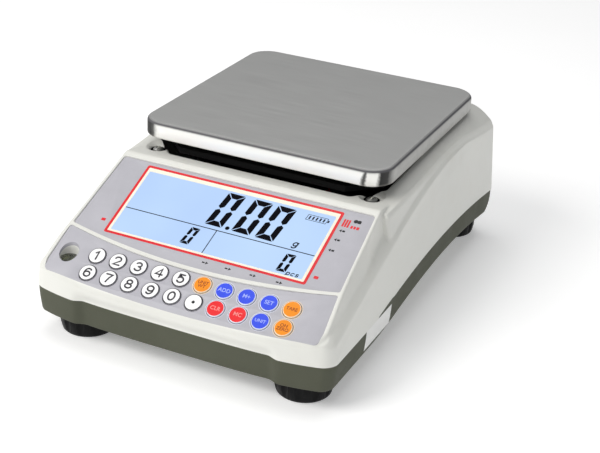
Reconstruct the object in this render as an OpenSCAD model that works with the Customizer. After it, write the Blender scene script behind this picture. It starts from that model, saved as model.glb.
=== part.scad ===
/* [Case] */
// Width of the case across its sides
body_w = 210; // [206:1:214]
// Depth of the case from front to rear
body_d = 304; // [302:1:306]
// Thickness of the moulded walls
wall = 2.5; // [2:0.1:2.8]
// Height of the deck beside and behind the weighing pan
deck_z = 101.5; // [101:0.1:102]
// Radius of the bowed front, seen from above
front_r = 560; // [520:10:600]
// How far the two front corners stand forward of the middle
pod_step = 3.5; // [2.5:0.1:4]

/* [Panels] */
// Tilt of the display panel from level, in degrees
display_tilt = 24.2; // [23.5:0.1:25]
// Tilt of the keypad panel from level, in degrees
keypad_tilt = 31.6; // [31:0.1:32.5]
// Thickness of the two face panels
panel_t = 2; // [1.6:0.1:2.2]
// How far the case's rim stands above the panels
rim_h = 1; // [0.6:0.1:1.2]

/* [Keys] */
// Radius of a key cap
key_r = 5.75; // [5.5:0.05:5.8]
// Distance between keys along a row
key_pitch = 15.16; // [15:0.02:15.3]
// Distance between the two rows of keys
row_pitch = 13.2; // [13.1:0.05:13.4]
// Height of a key cap above its panel
key_h = 0.8; // [0.7:0.1:1.2]

/* [Pan] */
// Width and depth of the square weighing pan
pan_w = 180; // [178:1:182]
// Height of the pan's upper face above the table
pan_top = 115.7; // [115:0.1:117]
// Depth of the pan's turned-down rim
pan_rim = 11.1; // [10.5:0.1:11.6]
// Thickness of the pan's sheet
pan_t = 0.8; // [0.6:0.1:1]
// Distance of the pan's centre behind the middle of the case
pan_y = 48.5; // [48:0.5:49]

/* [Feet] */
// Radius of a levelling wheel
foot_r = 19; // [18:0.5:19.5]
// Sideways distance of a foot from the middle
foot_x = 78; // [76:0.5:79]
// Distance of the front feet forward of the middle
foot_y = 122; // [120:0.5:124]
// Distance of the rear feet behind the middle
foot_rear_y = 141; // [139:0.5:141]

/* [Hidden] */
$fn = 64;

hw = body_w / 2;
hd = body_d / 2;

// colours
ivory = [0.88, 0.88, 0.84];
olive = [0.36, 0.36, 0.32];
panel_grey = [0.69, 0.68, 0.72];
black = [0.06, 0.06, 0.06];
steel = [0.72, 0.72, 0.73];
alu = [0.75, 0.76, 0.78];
brass = [0.78, 0.62, 0.28];
key_white = [0.95, 0.95, 0.95];
key_orange = [0.95, 0.55, 0.05];
key_blue = [0.2, 0.3, 0.9];
key_red = [0.92, 0.12, 0.15];
board_green = [0.1, 0.38, 0.2];

// heights
base_z = 14;          // lower edge of the base's skirt
floor_z = 27;         // underside of the base's floor
floor_t = 3;
part_z = 33;          // parting line at the front
part_top = 42.5;      // parting line at the top of its arch
part_y = 46;
part_r = 780;
arch_top = 25.7;      // arch along the lower edge of the sides
arch_y = 50;
arch_r = 520;

// ---------------------------------------------------------------- outline
corner_r = 15;
rear_r = 5;
lip_r = 1400;
set_back_z = 40;      // top of the part that is set back
pod_r = front_r + pod_step;
arc_y = front_r - hd;
corner_y = arc_y - sqrt(pow(pod_r - corner_r, 2) - pow(hw - corner_r, 2));

// outline seen from above, drawn in by i
module whole2d(i = 0) {
  xt = (hw - corner_r) * (pod_r - i) / (pod_r - corner_r);
  intersection() {
    translate([0, arc_y]) circle(r = pod_r - i, $fn = 720);
    translate([-xt, -hd - 20]) square([2 * xt, hd + 20]);
  }
  translate([-(hw - i), corner_y])
    square([2 * (hw - i), hd - rear_r - corner_y]);
  translate([-(hw - rear_r), -10]) square([2 * (hw - rear_r), hd - i + 10]);
  for (s = [-1, 1]) {
    translate([s * (hw - corner_r), corner_y]) circle(r = corner_r - i);
    translate([s * (hw - rear_r), hd - rear_r]) circle(r = rear_r - i);
  }
}
// the middle of the front is set back between the corners
module set_back2d(i = 0) {
  difference() {
    polygon([[-58, -hd + 8 + i], [58, -hd + 8 + i],
             [82, -hd - 4 + i], [-82, -hd - 4 + i]]);
    translate([0, arc_y]) circle(r = front_r - i, $fn = 720);
  }
}
module plan2d(i = 0) {
  difference() {
    whole2d(i);
    set_back2d(i);
  }
}
// under the keypad the lip runs straight across
module lip2d(i = 0) {
  intersection() {
    whole2d(i);
    translate([0, lip_r - hd]) circle(r = lip_r - i, $fn = 1800);
  }
}

// everything below the line where the two halves of the case meet
module below_parting() {
  translate([-hw - 10, -hd - 10, -20]) cube([body_w + 20, body_d + 20, part_z + 20]);
  translate([0, part_y, part_top - part_r]) rotate([0, 90, 0])
    cylinder(r = part_r, h = body_w + 20, center = true, $fn = 1440);
}

// ---------------------------------------------------------------- panels
bend = [-121.5, 63.3];      // where the display and keypad planes meet (y, z)
shelf_t = 2.5;              // case wall left under the panels
module on_display() { translate([0, bend[0], bend[1]]) rotate([display_tilt, 0, 0]) children(); }
module on_keypad() { translate([0, bend[0], bend[1]]) rotate([keypad_tilt, 0, 0]) children(); }

rib_r = 437;                // arc of the rib between the panels
rib_v = -1.2;
rib_w = 3;

module display_outline(c = 0) {
  intersection() {
    polygon([[-91 - c, 72.2 + c], [91 + c, 72.2 + c], [94 + c, 9], [94 + c, -6], [-94 - c, -6], [-94 - c, 9]]);
    translate([0, rib_v + rib_r]) circle(r = rib_r + c, $fn = 720);
  }
}
module keypad_outline(c = 0) {
  difference() {
    intersection() {
      polygon([[-94.2 - c, 12], [94.2 + c, 12], [96 + c, -21], [96 + c, -26], [92.5 + c, -31 - c],
               [86, -38], [-86, -38], [-92.5 - c, -31 - c], [-96 - c, -26], [-96 - c, -21]]);
      translate([0, -34.6 + 800]) circle(r = 800 + c, $fn = 900);
    }
    translate([0, rib_v + rib_r]) circle(r = rib_r + rib_w - c, $fn = 720);
  }
}

key_x0 = 3.2 - 4.5 * key_pitch;
row1_v = -10.9;
level_x = -85;
level_y = -132.7;

// places of the twenty keys, row by row
module at_key(row, col) {
  on_keypad() translate([key_x0 + col * key_pitch, row1_v - row * row_pitch, 0]) children();
}

// ---------------------------------------------------------------- housing
function shift(a, d) = [bend[0] - d * sin(a), bend[1] + d * cos(a)];
function z_at(a, d, y) = shift(a, d)[1] + (y - shift(a, d)[0]) * tan(a);
function meet_y(d) = let (k = shift(keypad_tilt, d), p = shift(display_tilt, d))
  (p[1] - k[1] + k[0] * tan(keypad_tilt) - p[0] * tan(display_tilt)) / (tan(keypad_tilt) - tan(display_tilt));
lip_y = -hd + 1;
lip_z = 40.5;
lip_k = (z_at(keypad_tilt, rim_h, lip_y) - lip_z) / 1;
deck_y = -53;
deck_low_y = -40;           // the deck is lowest just in front of the pan
deck_low_z = 94.5;
deck_rise_y = 60;
rear_top_r = 6;

module side_profile(t, d) {
  polygon(concat(
    t == 0 ? [[-hd - 20, lip_z - 20 * lip_k], [lip_y, z_at(keypad_tilt, d, lip_y)]]
           : [[-hd - 20, -40], [-hd - 20, z_at(keypad_tilt, d, -hd - 20)]],
    [[meet_y(d), z_at(keypad_tilt, d, meet_y(d))],
     [deck_y + t, z_at(display_tilt, d, deck_y + t)],
     [deck_low_y, deck_low_z - t],
     [deck_rise_y, deck_z - t]],
    [for (a = [90 : -18 : 0]) [hd - rear_top_r + (rear_top_r - t) * cos(a), deck_z - rear_top_r + (rear_top_r - t) * sin(a)]],
    [[hd + 20, deck_z - rear_top_r - 25], [hd + 20, -40]]));
}
draft_x = 101.3;
module front_profile(t) {
  polygon(concat(
    [[-hw - 2.8 + t, -5], [hw + 2.8 - t, -5]],
    [for (a = [0 : 15 : 90]) [draft_x - 10 + (10 - t) * cos(a), 90 + (11.6 - t) * sin(a)]],
    [[draft_x - 10, 130], [-draft_x + 10, 130]],
    [for (a = [90 : -15 : 0]) [-draft_x + 10 - (10 - t) * cos(a), 90 + (11.6 - t) * sin(a)]]));
}
// the cheeks lean in beside the panels
module cheek(t) {
  translate([97.5, -50, 96.5]) rotate([0, 0, -6.53]) rotate([0, 76.5, 0])
    translate([-200, -200, -t]) cube([400, 400, 60]);
}
module housing_solid(t, d) {
  difference() {
    intersection() {
      translate([0, 0, -5]) linear_extrude(135) lip2d(t);
      rotate([90, 0, 90]) translate([0, 0, -hw - 10]) linear_extrude(body_w + 20) side_profile(t, d);
      translate([0, hd + 10, 0]) rotate([90, 0, 0]) linear_extrude(body_d + 20) front_profile(t);
    }
    translate([0, 0, -5]) linear_extrude(set_back_z + 5 + t) set_back2d(t);
    cheek(t);
    mirror([1, 0, 0]) cheek(t);
  }
}

well_x = 84;
well_y0 = -39;
well_y1 = 135;
well_c = 18;
module well2d(i = 0) {
  x = well_x - i; a = well_y0 + i; b = well_y1 - i; c = well_c + i * 0.4;
  polygon([[-x + c, a], [x - c, a], [x, a + c], [x, b - c], [x - c, b], [-x + c, b], [-x, b - c], [-x, a + c]]);
}
post_x = 79;
post_yf = -33;
post_yr = 130;
cup_z = 92;

module upper_housing() color(ivory) difference() {
  union() {
    difference() {
      housing_solid(0, rim_h);
      housing_solid(wall, rim_h - rim_h - panel_t - shelf_t);
    }
    // pocket for the level vial
    intersection() {
      translate([level_x, level_y, 45]) cylinder(r = 8.6, h = 40);
      housing_solid(0, rim_h);
    }
    // cups that the two front screws are sunk in
    intersection() {
      for (s = [-1, 1]) translate([s * post_x, post_yf, cup_z - 2.5]) cylinder(r = 10, h = 20);
      housing_solid(0, rim_h);
    }
  }
  for (s = [-1, 1]) translate([s * post_x, post_yf, cup_z]) cylinder(r = 8, h = 40);
  below_parting();
  on_display() translate([0, 0, -panel_t]) linear_extrude(20) display_outline(0.2);
  on_keypad() translate([0, 0, -panel_t]) linear_extrude(20) keypad_outline(0.2);
  on_display() translate([-70, 8, -20]) cube([140, 59.5, 22]);
  on_keypad() translate([-74, -31.4, -14]) cube([154.4, 28.2, 14]);
  translate([0, 0, 80]) linear_extrude(40) well2d();
  translate([level_x, level_y, 46.9]) cylinder(r = 6.4, h = 40);
  for (s = [-1, 1], y = [post_yf, post_yr]) translate([s * post_x, y, 80]) cylinder(r = 2.2, h = 40);
  // cut-outs for the switch and the inlet
  translate([17 - 9.7, 120, 57.5 - 6.6]) cube([19.4, 40, 13.2]);
  translate([-18, 120, 57.5]) rotate([-90, 0, 0]) cylinder(r = 4.7, h = 40);
}

// ---------------------------------------------------------------- base
turn_r = 14;
batt_x0 = 25;
batt_x1 = 95;
batt_y0 = -4;
batt_y1 = 96;
module base_tray() color(olive) difference() {
  union() {
    difference() {
      intersection() {
        translate([0, 0, base_z]) linear_extrude(40) plan2d(0);
        below_parting();
      }
      translate([0, 0, floor_z + floor_t]) linear_extrude(40) plan2d(wall);
      translate([0, 0, base_z - 1]) linear_extrude(floor_z - base_z + 1) plan2d(wall);
      translate([0, arch_y, arch_top - arch_r]) rotate([0, 90, 0])
        cylinder(r = arch_r, h = body_w + 20, center = true, $fn = 1440);
    }
    // bosses that take the levelling feet
    for (x = [-foot_x, foot_x], y = [-foot_y, foot_rear_y]) translate([x, y, 20]) cylinder(r = 8.2, h = 22);
    // posts that the housing is screwed to
    for (s = [-1, 1]) {
      translate([s * post_x, post_yf, floor_z + 1]) cylinder(r = 6, h = cup_z - 2.9 - floor_z - 1);
      translate([s * post_x, post_yr, floor_z + 1]) cylinder(r = 6, h = 98.4 - floor_z - 1);
    }
    // boss for the overload stop
    translate([0, -1.5, floor_z + 1]) cylinder(r = 7, h = 7);
    // walls of the battery compartment
    difference() {
      translate([batt_x0 - 2.6, batt_y0 - 2.6, floor_z + 1]) cube([batt_x1 - batt_x0 + 5.2, batt_y1 - batt_y0 + 5.2, 14]);
      translate([batt_x0 - 0.6, batt_y0 - 0.6, floor_z]) cube([batt_x1 - batt_x0 + 1.2, batt_y1 - batt_y0 + 1.2, 20]);
    }
  }
  // the lower edge turns up at the rear, over the rear wheels
  difference() {
    translate([-hw - 10, hd - turn_r, 0]) cube([body_w + 20, turn_r + 10, base_z + turn_r]);
    translate([0, hd - turn_r, base_z + turn_r]) rotate([0, 90, 0]) cylinder(r = turn_r, h = body_w + 30, center = true, $fn = 128);
  }
  for (x = [-foot_x, foot_x], y = [-foot_y, foot_rear_y]) translate([x, y, 0]) {
    translate([0, 0, 25.9]) cylinder(r = 6.5, h = 20);
    translate([0, 0, 15]) cylinder(r = 4.6, h = 20);
  }
  for (s = [-1, 1], y = [post_yf, post_yr]) translate([s * post_x, y, 60]) cylinder(r = 2, h = 60);
  translate([0, -1.5, floor_z - 1]) cylinder(r = 3, h = 20);
  translate([0, 90, floor_z - 1]) cylinder(r = 3.1, h = 10);
  translate([0, 107, floor_z - 1]) cylinder(r = 3.1, h = 10);
  translate([batt_x0 - 0.6, batt_y0 - 0.6, floor_z - 1]) cube([batt_x1 - batt_x0 + 1.2, batt_y1 - batt_y0 + 1.2, 10]);
  for (y = [batt_y0 - 7, batt_y1 + 7]) translate([60, y, floor_z - 1]) cylinder(r = 1.5, h = 10);
  // shallow bed for the side label
  translate([hw - 0.15, -92, 18.6]) cube([1, 41, 14]);
}
module battery_cover() color(olive) difference() {
  translate([batt_x0 - 7, batt_y0 - 12, floor_z - 2.5]) cube([batt_x1 - batt_x0 + 12, batt_y1 - batt_y0 + 24, 2.5]);
  for (y = [batt_y0 - 7, batt_y1 + 7]) translate([60, y, floor_z - 5]) cylinder(r = 1.7, h = 10);
  for (i = [0 : 5]) translate([40 + i * 8, 30, floor_z - 3.3]) cube([3, 44, 1.6]);
}
module cover_screws() color(steel)
  for (y = [batt_y0 - 7, batt_y1 + 7]) translate([60, y, 0]) difference() {
    union() {
      translate([0, 0, floor_z - 4.3]) cylinder(r = 3, h = 1.8);
      translate([0, 0, floor_z - 2.6]) cylinder(r = 1.45, h = 6);
    }
    for (a = [0, 90]) rotate(a) translate([-1.8, -0.4, floor_z - 4.8]) cube([3.6, 0.8, 1.3]);
  }
module battery() color([0.2, 0.2, 0.22]) {
  translate([batt_x0, batt_y0, floor_z + 0.3]) cube([batt_x1 - batt_x0, batt_y1 - batt_y0, 44]);
  translate([batt_x0 + 2, batt_y0 + 2, floor_z + 44]) cube([batt_x1 - batt_x0 - 4, batt_y1 - batt_y0 - 4, 3]);
  for (x = [36, 84]) translate([x - 2.4, batt_y0 + 10, floor_z + 46]) cube([4.8, 0.8, 7]);
}

// ---------------------------------------------------------------- display
module display_panel() color(panel_grey) on_display() difference() {
  translate([0, 0, -panel_t]) linear_extrude(panel_t) display_outline();
  translate([-68.2, 9.8, -panel_t - 1]) cube([136.4, 55.4, panel_t + 2]);
}
module display_window() color([0.75, 0.86, 1, 0.5]) on_display()
  translate([-68.1, 9.9, -panel_t]) cube([136.2, 55.2, panel_t - 0.15]);
module lcd_glass() color([0.7, 0.83, 0.98]) on_display()
  translate([-69, 8.8, -5]) cube([138, 57.8, 2.8]);
module lcd_backlight() color([0.9, 0.95, 1]) on_display() {
  translate([-69, 8.8, -9.2]) cube([138, 57.8, 4.1]);
  translate([-72, 20, -9.2]) cube([3, 30, 2.5]);
}
module main_board() color(board_green) on_display() {
  translate([-70.5, 6, -11.2]) cube([141, 61, 1.6]);
  translate([-30, 20, -13.4]) cube([14, 14, 2.2]);
  translate([12, 24, -13]) cube([10, 6, 1.8]);
  translate([-28, 50, -17.2]) cube([12, 6, 6]);
  translate([24, 50, -17.2]) cube([12, 6, 6]);
  for (i = [0 : 4]) translate([-55 + i * 4.2, 24, -12.4]) cube([2, 3.4, 1.2]);
  translate([48, 30, -18.2]) cylinder(r = 4, h = 7);
  translate([58, 30, -18.2]) cylinder(r = 4, h = 7);
}

// ---------------------------------------------------------------- keypad
module keypad_panel() color(panel_grey) difference() {
  on_keypad() translate([0, 0, -panel_t]) linear_extrude(panel_t) keypad_outline();
  for (r = [0, 1], c = [0 : 9]) at_key(r, c) translate([0, 0, -5]) cylinder(r = key_r + 0.32, h = 10);
  translate([level_x, level_y, 40]) cylinder(r = 6.4, h = 30);
}
module key_cap(r, c, col, pip = 0) color(col) at_key(r, c) {
  difference() {
    union() {
      translate([0, 0, -4.3]) cylinder(r = key_r, h = 4.3 + key_h - 0.5);
      translate([0, 0, key_h - 0.5]) cylinder(r1 = key_r, r2 = key_r - 0.5, h = 0.5);
      translate([0, 0, -4.3]) cylinder(r = 6.3, h = 2);
    }
    translate([0, 0, -5]) cylinder(r = 4.2, h = 3.2);
  }
  translate([0, 0, -4.3]) cylinder(r = 1.8, h = 3);
}
module key_1() key_cap(0, 0, key_white);
module key_2() key_cap(0, 1, key_white);
module key_3() key_cap(0, 2, key_white);
module key_4() key_cap(0, 3, key_white);
module key_5() key_cap(0, 4, key_white);
module key_orange_1() key_cap(0, 5, key_orange);
module key_blue_1() key_cap(0, 6, key_blue);
module key_blue_2() key_cap(0, 7, key_blue);
module key_blue_3() key_cap(0, 8, key_blue);
module key_orange_2() key_cap(0, 9, key_orange);
module key_6() key_cap(1, 0, key_white);
module key_7() key_cap(1, 1, key_white);
module key_8() key_cap(1, 2, key_white);
module key_9() key_cap(1, 3, key_white);
module key_0() key_cap(1, 4, key_white);
module key_point() key_cap(1, 5, key_white);
module key_red_1() key_cap(1, 6, key_red);
module key_red_2() key_cap(1, 7, key_red);
module key_blue_4() key_cap(1, 8, key_blue);
module key_orange_3() key_cap(1, 9, key_orange);

// silicone mat with a small dome under every key
module key_mat() color([0.75, 0.75, 0.72]) {
  on_keypad() translate([-72, -30.6, -7.4]) cube([150, 27, 0.9]);
  for (r = [0, 1], c = [0 : 9]) at_key(r, c) {
    translate([0, 0, -6.8]) cylinder(r1 = 4.4, r2 = 3, h = 1.0);
    translate([0, 0, -6.2]) cylinder(r = 2.2, h = 0.9);
  }
}
module keypad_board() color(board_green) on_keypad() {
  translate([-72, -30.6, -9]) cube([150, 27, 1.6]);
  translate([-10, -9, -12.5]) cube([16, 5, 3.5]);
}

// ---------------------------------------------------------------- level
module level_vial() color([0.85, 0.92, 0.85, 0.6]) translate([level_x, level_y, 47]) difference() {
  cylinder(r = 6.2, h = 5);
  translate([0, 0, 1.2]) cylinder(r = 5.1, h = 2.8);
}
module level_fluid() color([0.7, 0.85, 0.2]) translate([level_x, level_y, 48.25]) difference() {
  cylinder(r = 5.05, h = 2.7);
  translate([0.6, 0.8, 2]) cylinder(r = 2, h = 2);
}

// ---------------------------------------------------------------- weighing
module rounded2d(w, d, r) {
  translate([-w / 2 + r, -d / 2]) square([w - 2 * r, d]);
  translate([-w / 2, -d / 2 + r]) square([w, d - 2 * r]);
  for (x = [-1, 1], y = [-1, 1]) translate([x * (w / 2 - r), y * (d / 2 - r)]) circle(r = r);
}
module pan() color(steel) translate([0, pan_y, 0]) difference() {
  translate([0, 0, pan_top - pan_rim]) linear_extrude(pan_rim) rounded2d(pan_w, pan_w, 17);
  translate([0, 0, pan_top - pan_rim - 1]) linear_extrude(pan_rim - pan_t + 1)
    rounded2d(pan_w - 2 * pan_t, pan_w - 2 * pan_t, 17 - pan_t);
}
pad_d = 62;
pad_t = 3;
plate_z = 95;
plate_t = 4;
cell_z = 38;
cell_h = 22;
module pan_pads() color(black)
  for (x = [-1, 1], y = [-1, 1]) translate([x * pad_d, pan_y + y * pad_d, pan_top - pan_t - pad_t]) cylinder(r = 8, h = pad_t);
module pan_support() color(black) difference() {
  union() {
    translate([0, 0, plate_z]) linear_extrude(plate_t) well2d(3.6);
    // ribs under the plate
    for (x = [-50, 50]) translate([x - 2, well_y0 + 12, plate_z - 8]) cube([4, well_y1 - well_y0 - 24, 9]);
    for (y = [-6, pan_y + 54]) translate([-70, y - 2, plate_z - 8]) cube([140, 4, 9]);
    // column down to the load cell
    translate([-15, -16.5, cell_z + cell_h + 6]) cube([30, 30, plate_z - cell_z - cell_h - 5]);
    // posts under the pan
    for (x = [-1, 1], y = [-1, 1]) translate([x * pad_d, pan_y + y * pad_d, plate_z]) cylinder(r = 8, h = pan_top - pan_t - pad_t - plate_z);
  }
  for (y = [-10, 7]) translate([0, y, 0]) {
    translate([0, 0, 50]) cylinder(r = 3.1, h = 60);
    translate([0, 0, plate_z - 4]) cylinder(r = 5.6, h = 20);
  }
}
module cell_top_spacer() color(alu) difference() {
  translate([-15, -16.5, cell_z + cell_h]) cube([30, 30, 6]);
  for (y = [-10, 7]) translate([0, y, 50]) cylinder(r = 3.1, h = 30);
}
module cell_top_screws() color(steel) for (y = [-10, 7]) translate([0, y, 0]) difference() {
  union() {
    translate([0, 0, 46]) cylinder(r = 2.95, h = plate_z - 4 - 46);
    translate([0, 0, plate_z - 4]) cylinder(r = 5, h = 6);
  }
  translate([0, 0, plate_z - 1]) cylinder(r = 2.9, h = 10, $fn = 6);
}
module load_cell() color(alu) difference() {
  translate([-15, -16.5, cell_z]) cube([30, 130, cell_h]);
  // the two joined holes that let the beam bend
  for (y = [39, 58]) translate([-20, y, cell_z + cell_h / 2]) rotate([0, 90, 0]) cylinder(r = 9, h = 40);
  translate([-20, 39, cell_z + cell_h / 2 - 3]) cube([40, 19, 6]);
  for (y = [-10, 7]) translate([0, y, 44]) cylinder(r = 3, h = 30);
  for (y = [90, 107]) translate([0, y, 30]) cylinder(r = 3, h = 24);
}
module cell_base_spacer() color(alu) difference() {
  translate([-15, 83.5, floor_z + floor_t]) cube([30, 30, cell_z - floor_z - floor_t]);
  for (y = [90, 107]) translate([0, y, 20]) cylinder(r = 3.1, h = 30);
}
module cell_base_screws() color(steel) for (y = [90, 107]) translate([0, y, 0]) difference() {
  union() {
    translate([0, 0, floor_z - 5]) cylinder(r = 5, h = 5);
    translate([0, 0, floor_z - 0.1]) cylinder(r = 2.95, h = 24);
  }
  translate([0, 0, floor_z - 6]) cylinder(r = 2.9, h = 3.5, $fn = 6);
}
module overload_stop() color(steel) translate([0, -1.5, 0]) difference() {
  union() {
    translate([0, 0, floor_z]) cylinder(r = 2.95, h = cell_z - 0.6 - floor_z);
    translate([0, 0, floor_z + 8.05]) cylinder(r = 5.2, h = 1.4, $fn = 6);
  }
  translate([-2, -0.5, floor_z - 1]) cube([4, 1, 2]);
}

// ---------------------------------------------------------------- rear wall
module power_switch() color(black) translate([17, 0, 57.5]) difference() {
  union() {
    translate([-10.5, hd, -7.5]) cube([21, 1.6, 15]);
    translate([-9.5, hd - 17, -6.4]) cube([19, 17.1, 12.8]);
    for (x = [-5, 5]) translate([x - 0.4, hd - 24, -2.4]) cube([0.8, 8, 4.8]);
  }
  translate([-8.1, hd - 6.6, -5.6]) cube([16.2, 20, 11.2]);
  translate([0, hd - 1.5, 0]) rotate([0, 90, 0]) cylinder(r = 1.05, h = 18, center = true);
}
module power_rocker() color([0.75, 0.1, 0.08]) translate([17, hd - 1.5, 57.5]) rotate([-7, 0, 0]) {
  translate([-7.7, 0, 0]) rotate([90, 0, 90]) linear_extrude(15.4)
    polygon([[-3, -4.6], [3.4, -4.6], [2.5, 0], [3.4, 4.6], [-3, 4.6]]);
  rotate([0, 90, 0]) cylinder(r = 1, h = 17.6, center = true);
}
module dc_socket() color(black) translate([-18, 0, 57.5]) {
  difference() {
    union() {
      translate([-7, hd - 16, -5.5]) cube([14, 12.9, 11]);
      translate([0, hd - 4, 0]) rotate([-90, 0, 0]) cylinder(r = 4.6, h = 5);
      translate([0, hd, 0]) rotate([-90, 0, 0]) cylinder(r = 6, h = 1);
    }
    translate([0, hd - 9, 0]) rotate([-90, 0, 0]) cylinder(r = 2.9, h = 20);
  }
  translate([0, hd - 10, 0]) rotate([-90, 0, 0]) cylinder(r = 1, h = 9.5);
}

// ---------------------------------------------------------------- feet
module foot_stud(x, y) color(steel) translate([x, y, 0]) {
  translate([0, 0, 5]) cylinder(r = 4, h = 36);
  translate([0, 0, 41]) cylinder(r1 = 4, r2 = 3.2, h = 0.8);
}
module foot_wheel(x, y) color(black) translate([x, y, 0]) difference() {
  rotate_extrude() polygon([[0, 0], [foot_r - 2.2, 0], [foot_r - 1.3, 0.9], [foot_r - 0.5, 5],
    [foot_r, 7], [foot_r, 12.4], [foot_r - 0.8, 13.4], [9, 14], [9, 15.6], [0, 15.6]]);
  for (a = [0 : 30 : 330]) rotate(a + 15) translate([foot_r + 2.7, 0, -1]) cylinder(r = 4, h = 20);
  translate([0, 0, 4.9]) cylinder(r = 4.05, h = 20);
}
module foot_stud_fl() foot_stud(-foot_x, -foot_y);
module foot_stud_fr() foot_stud(foot_x, -foot_y);
module foot_stud_rl() foot_stud(-foot_x, foot_rear_y);
module foot_stud_rr() foot_stud(foot_x, foot_rear_y);
module foot_wheel_fl() foot_wheel(-foot_x, -foot_y);
module foot_wheel_fr() foot_wheel(foot_x, -foot_y);
module foot_wheel_rl() foot_wheel(-foot_x, foot_rear_y);
module foot_wheel_rr() foot_wheel(foot_x, foot_rear_y);
module thread_inserts() color(brass)
  for (x = [-foot_x, foot_x], y = [-foot_y, foot_rear_y]) translate([x, y, 26]) difference() {
    cylinder(r = 6.45, h = 15);
    translate([0, 0, -1]) cylinder(r = 4.06, h = 20);
  }
module case_screw(x, y, z) translate([x, y, z]) difference() {
  union() {
    cylinder(r = 3.6, h = 1.2);
    translate([0, 0, 1.2]) cylinder(r1 = 3.6, r2 = 2.2, h = 1);
    translate([0, 0, -18]) cylinder(r = 1.95, h = 18.1);
  }
  for (a = [0, 90]) rotate(a) translate([-2, -0.45, 1.1]) cube([4, 0.9, 2]);
}
module case_screws() color(steel) for (s = [-1, 1]) {
  case_screw(s * post_x, post_yf, cup_z);
  case_screw(s * post_x, post_yr, deck_z);
}
module side_label() color([0.95, 0.95, 0.94]) translate([hw - 0.15, -92, 18.6]) cube([0.15, 41, 14]);

// ---------------------------------------------------------------- wiring
module run(a, b, r) {
  d = b - a;
  l = norm(d);
  translate(a) rotate([0, acos(d[2] / l), atan2(d[1], d[0])]) cylinder(r = r, h = l);
}
module wire(p, r) {
  for (i = [0 : len(p) - 2]) run(p[i], p[i + 1], r);
  for (i = [1 : len(p) - 2]) translate(p[i]) sphere(r = r * 1.2);
}
module cell_cable() color([0.55, 0.55, 0.58])
  wire([[-15.1, 98, 49], [-19, 98, 49], [-19, -40, 49], [-22, -65, 67.2]], 1.6);
module battery_lead() color([0.7, 0.1, 0.1])
  wire([[36, 5.95, 77], [36, 0, 77], [36, -30, 80], [30, -65, 67.2]], 1.4);

base_tray();
upper_housing();
display_panel();
display_window();
lcd_glass();
lcd_backlight();
main_board();
keypad_panel();
key_mat();
keypad_board();
key_1();
key_2();
key_3();
key_4();
key_5();
key_orange_1();
key_blue_1();
key_blue_2();
key_blue_3();
key_orange_2();
key_6();
key_7();
key_8();
key_9();
key_0();
key_point();
key_red_1();
key_red_2();
key_blue_4();
key_orange_3();
level_vial();
level_fluid();
pan();
pan_pads();
pan_support();
cell_top_spacer();
cell_top_screws();
load_cell();
cell_base_spacer();
cell_base_screws();
overload_stop();
battery();
battery_cover();
cover_screws();
power_switch();
power_rocker();
dc_socket();
foot_stud_fl();
foot_stud_fr();
foot_stud_rl();
foot_stud_rr();
foot_wheel_fl();
foot_wheel_fr();
foot_wheel_rl();
foot_wheel_rr();
thread_inserts();
case_screws();
side_label();
cell_cable();
battery_lead();
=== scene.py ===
import bpy
import bmesh
import math
import numpy as np
from mathutils import Matrix, Vector


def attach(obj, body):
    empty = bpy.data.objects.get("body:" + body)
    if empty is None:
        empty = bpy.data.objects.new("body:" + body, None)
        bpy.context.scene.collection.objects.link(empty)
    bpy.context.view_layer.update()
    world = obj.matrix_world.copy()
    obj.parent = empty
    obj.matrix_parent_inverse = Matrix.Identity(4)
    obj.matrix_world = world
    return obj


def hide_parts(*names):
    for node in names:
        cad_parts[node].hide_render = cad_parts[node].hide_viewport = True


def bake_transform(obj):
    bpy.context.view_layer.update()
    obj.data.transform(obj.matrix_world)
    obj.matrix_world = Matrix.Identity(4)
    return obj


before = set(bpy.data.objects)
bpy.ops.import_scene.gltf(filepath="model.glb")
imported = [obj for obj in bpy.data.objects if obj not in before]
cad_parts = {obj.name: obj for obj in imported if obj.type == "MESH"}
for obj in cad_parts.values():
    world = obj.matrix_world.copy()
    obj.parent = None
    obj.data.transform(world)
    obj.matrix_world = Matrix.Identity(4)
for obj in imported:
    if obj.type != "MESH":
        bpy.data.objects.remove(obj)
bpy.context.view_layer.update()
scene = bpy.context.scene
MM = 0.001

# --------------------------------------------------------------------- camera
AZ, EL, ROLL = (math.radians(a) for a in (24.16, 25.77, 3.03))
c_right = Vector((math.cos(AZ), math.sin(AZ), 0))
c_back = Vector((math.sin(AZ) * math.cos(EL), -math.cos(AZ) * math.cos(EL), math.sin(EL)))
c_up = c_back.cross(c_right)
cx = math.cos(ROLL) * c_right + math.sin(ROLL) * c_up
cy = -math.sin(ROLL) * c_right + math.cos(ROLL) * c_up
cam_data = bpy.data.cameras.new("camera")
cam_data.sensor_fit = "HORIZONTAL"
cam_data.sensor_width = 36.0
cam_data.lens = 81.47
cam_data.clip_start = 0.02
cam = bpy.data.objects.new("camera", cam_data)
m = Matrix.Identity(4)
for row in range(3):
    m[row][0], m[row][1], m[row][2] = cx[row], cy[row], c_back[row]
m.translation = Vector((0.3615, -0.7725, 0.4527))
cam.matrix_world = m
scene.collection.objects.link(cam)
scene.camera = cam


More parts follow.
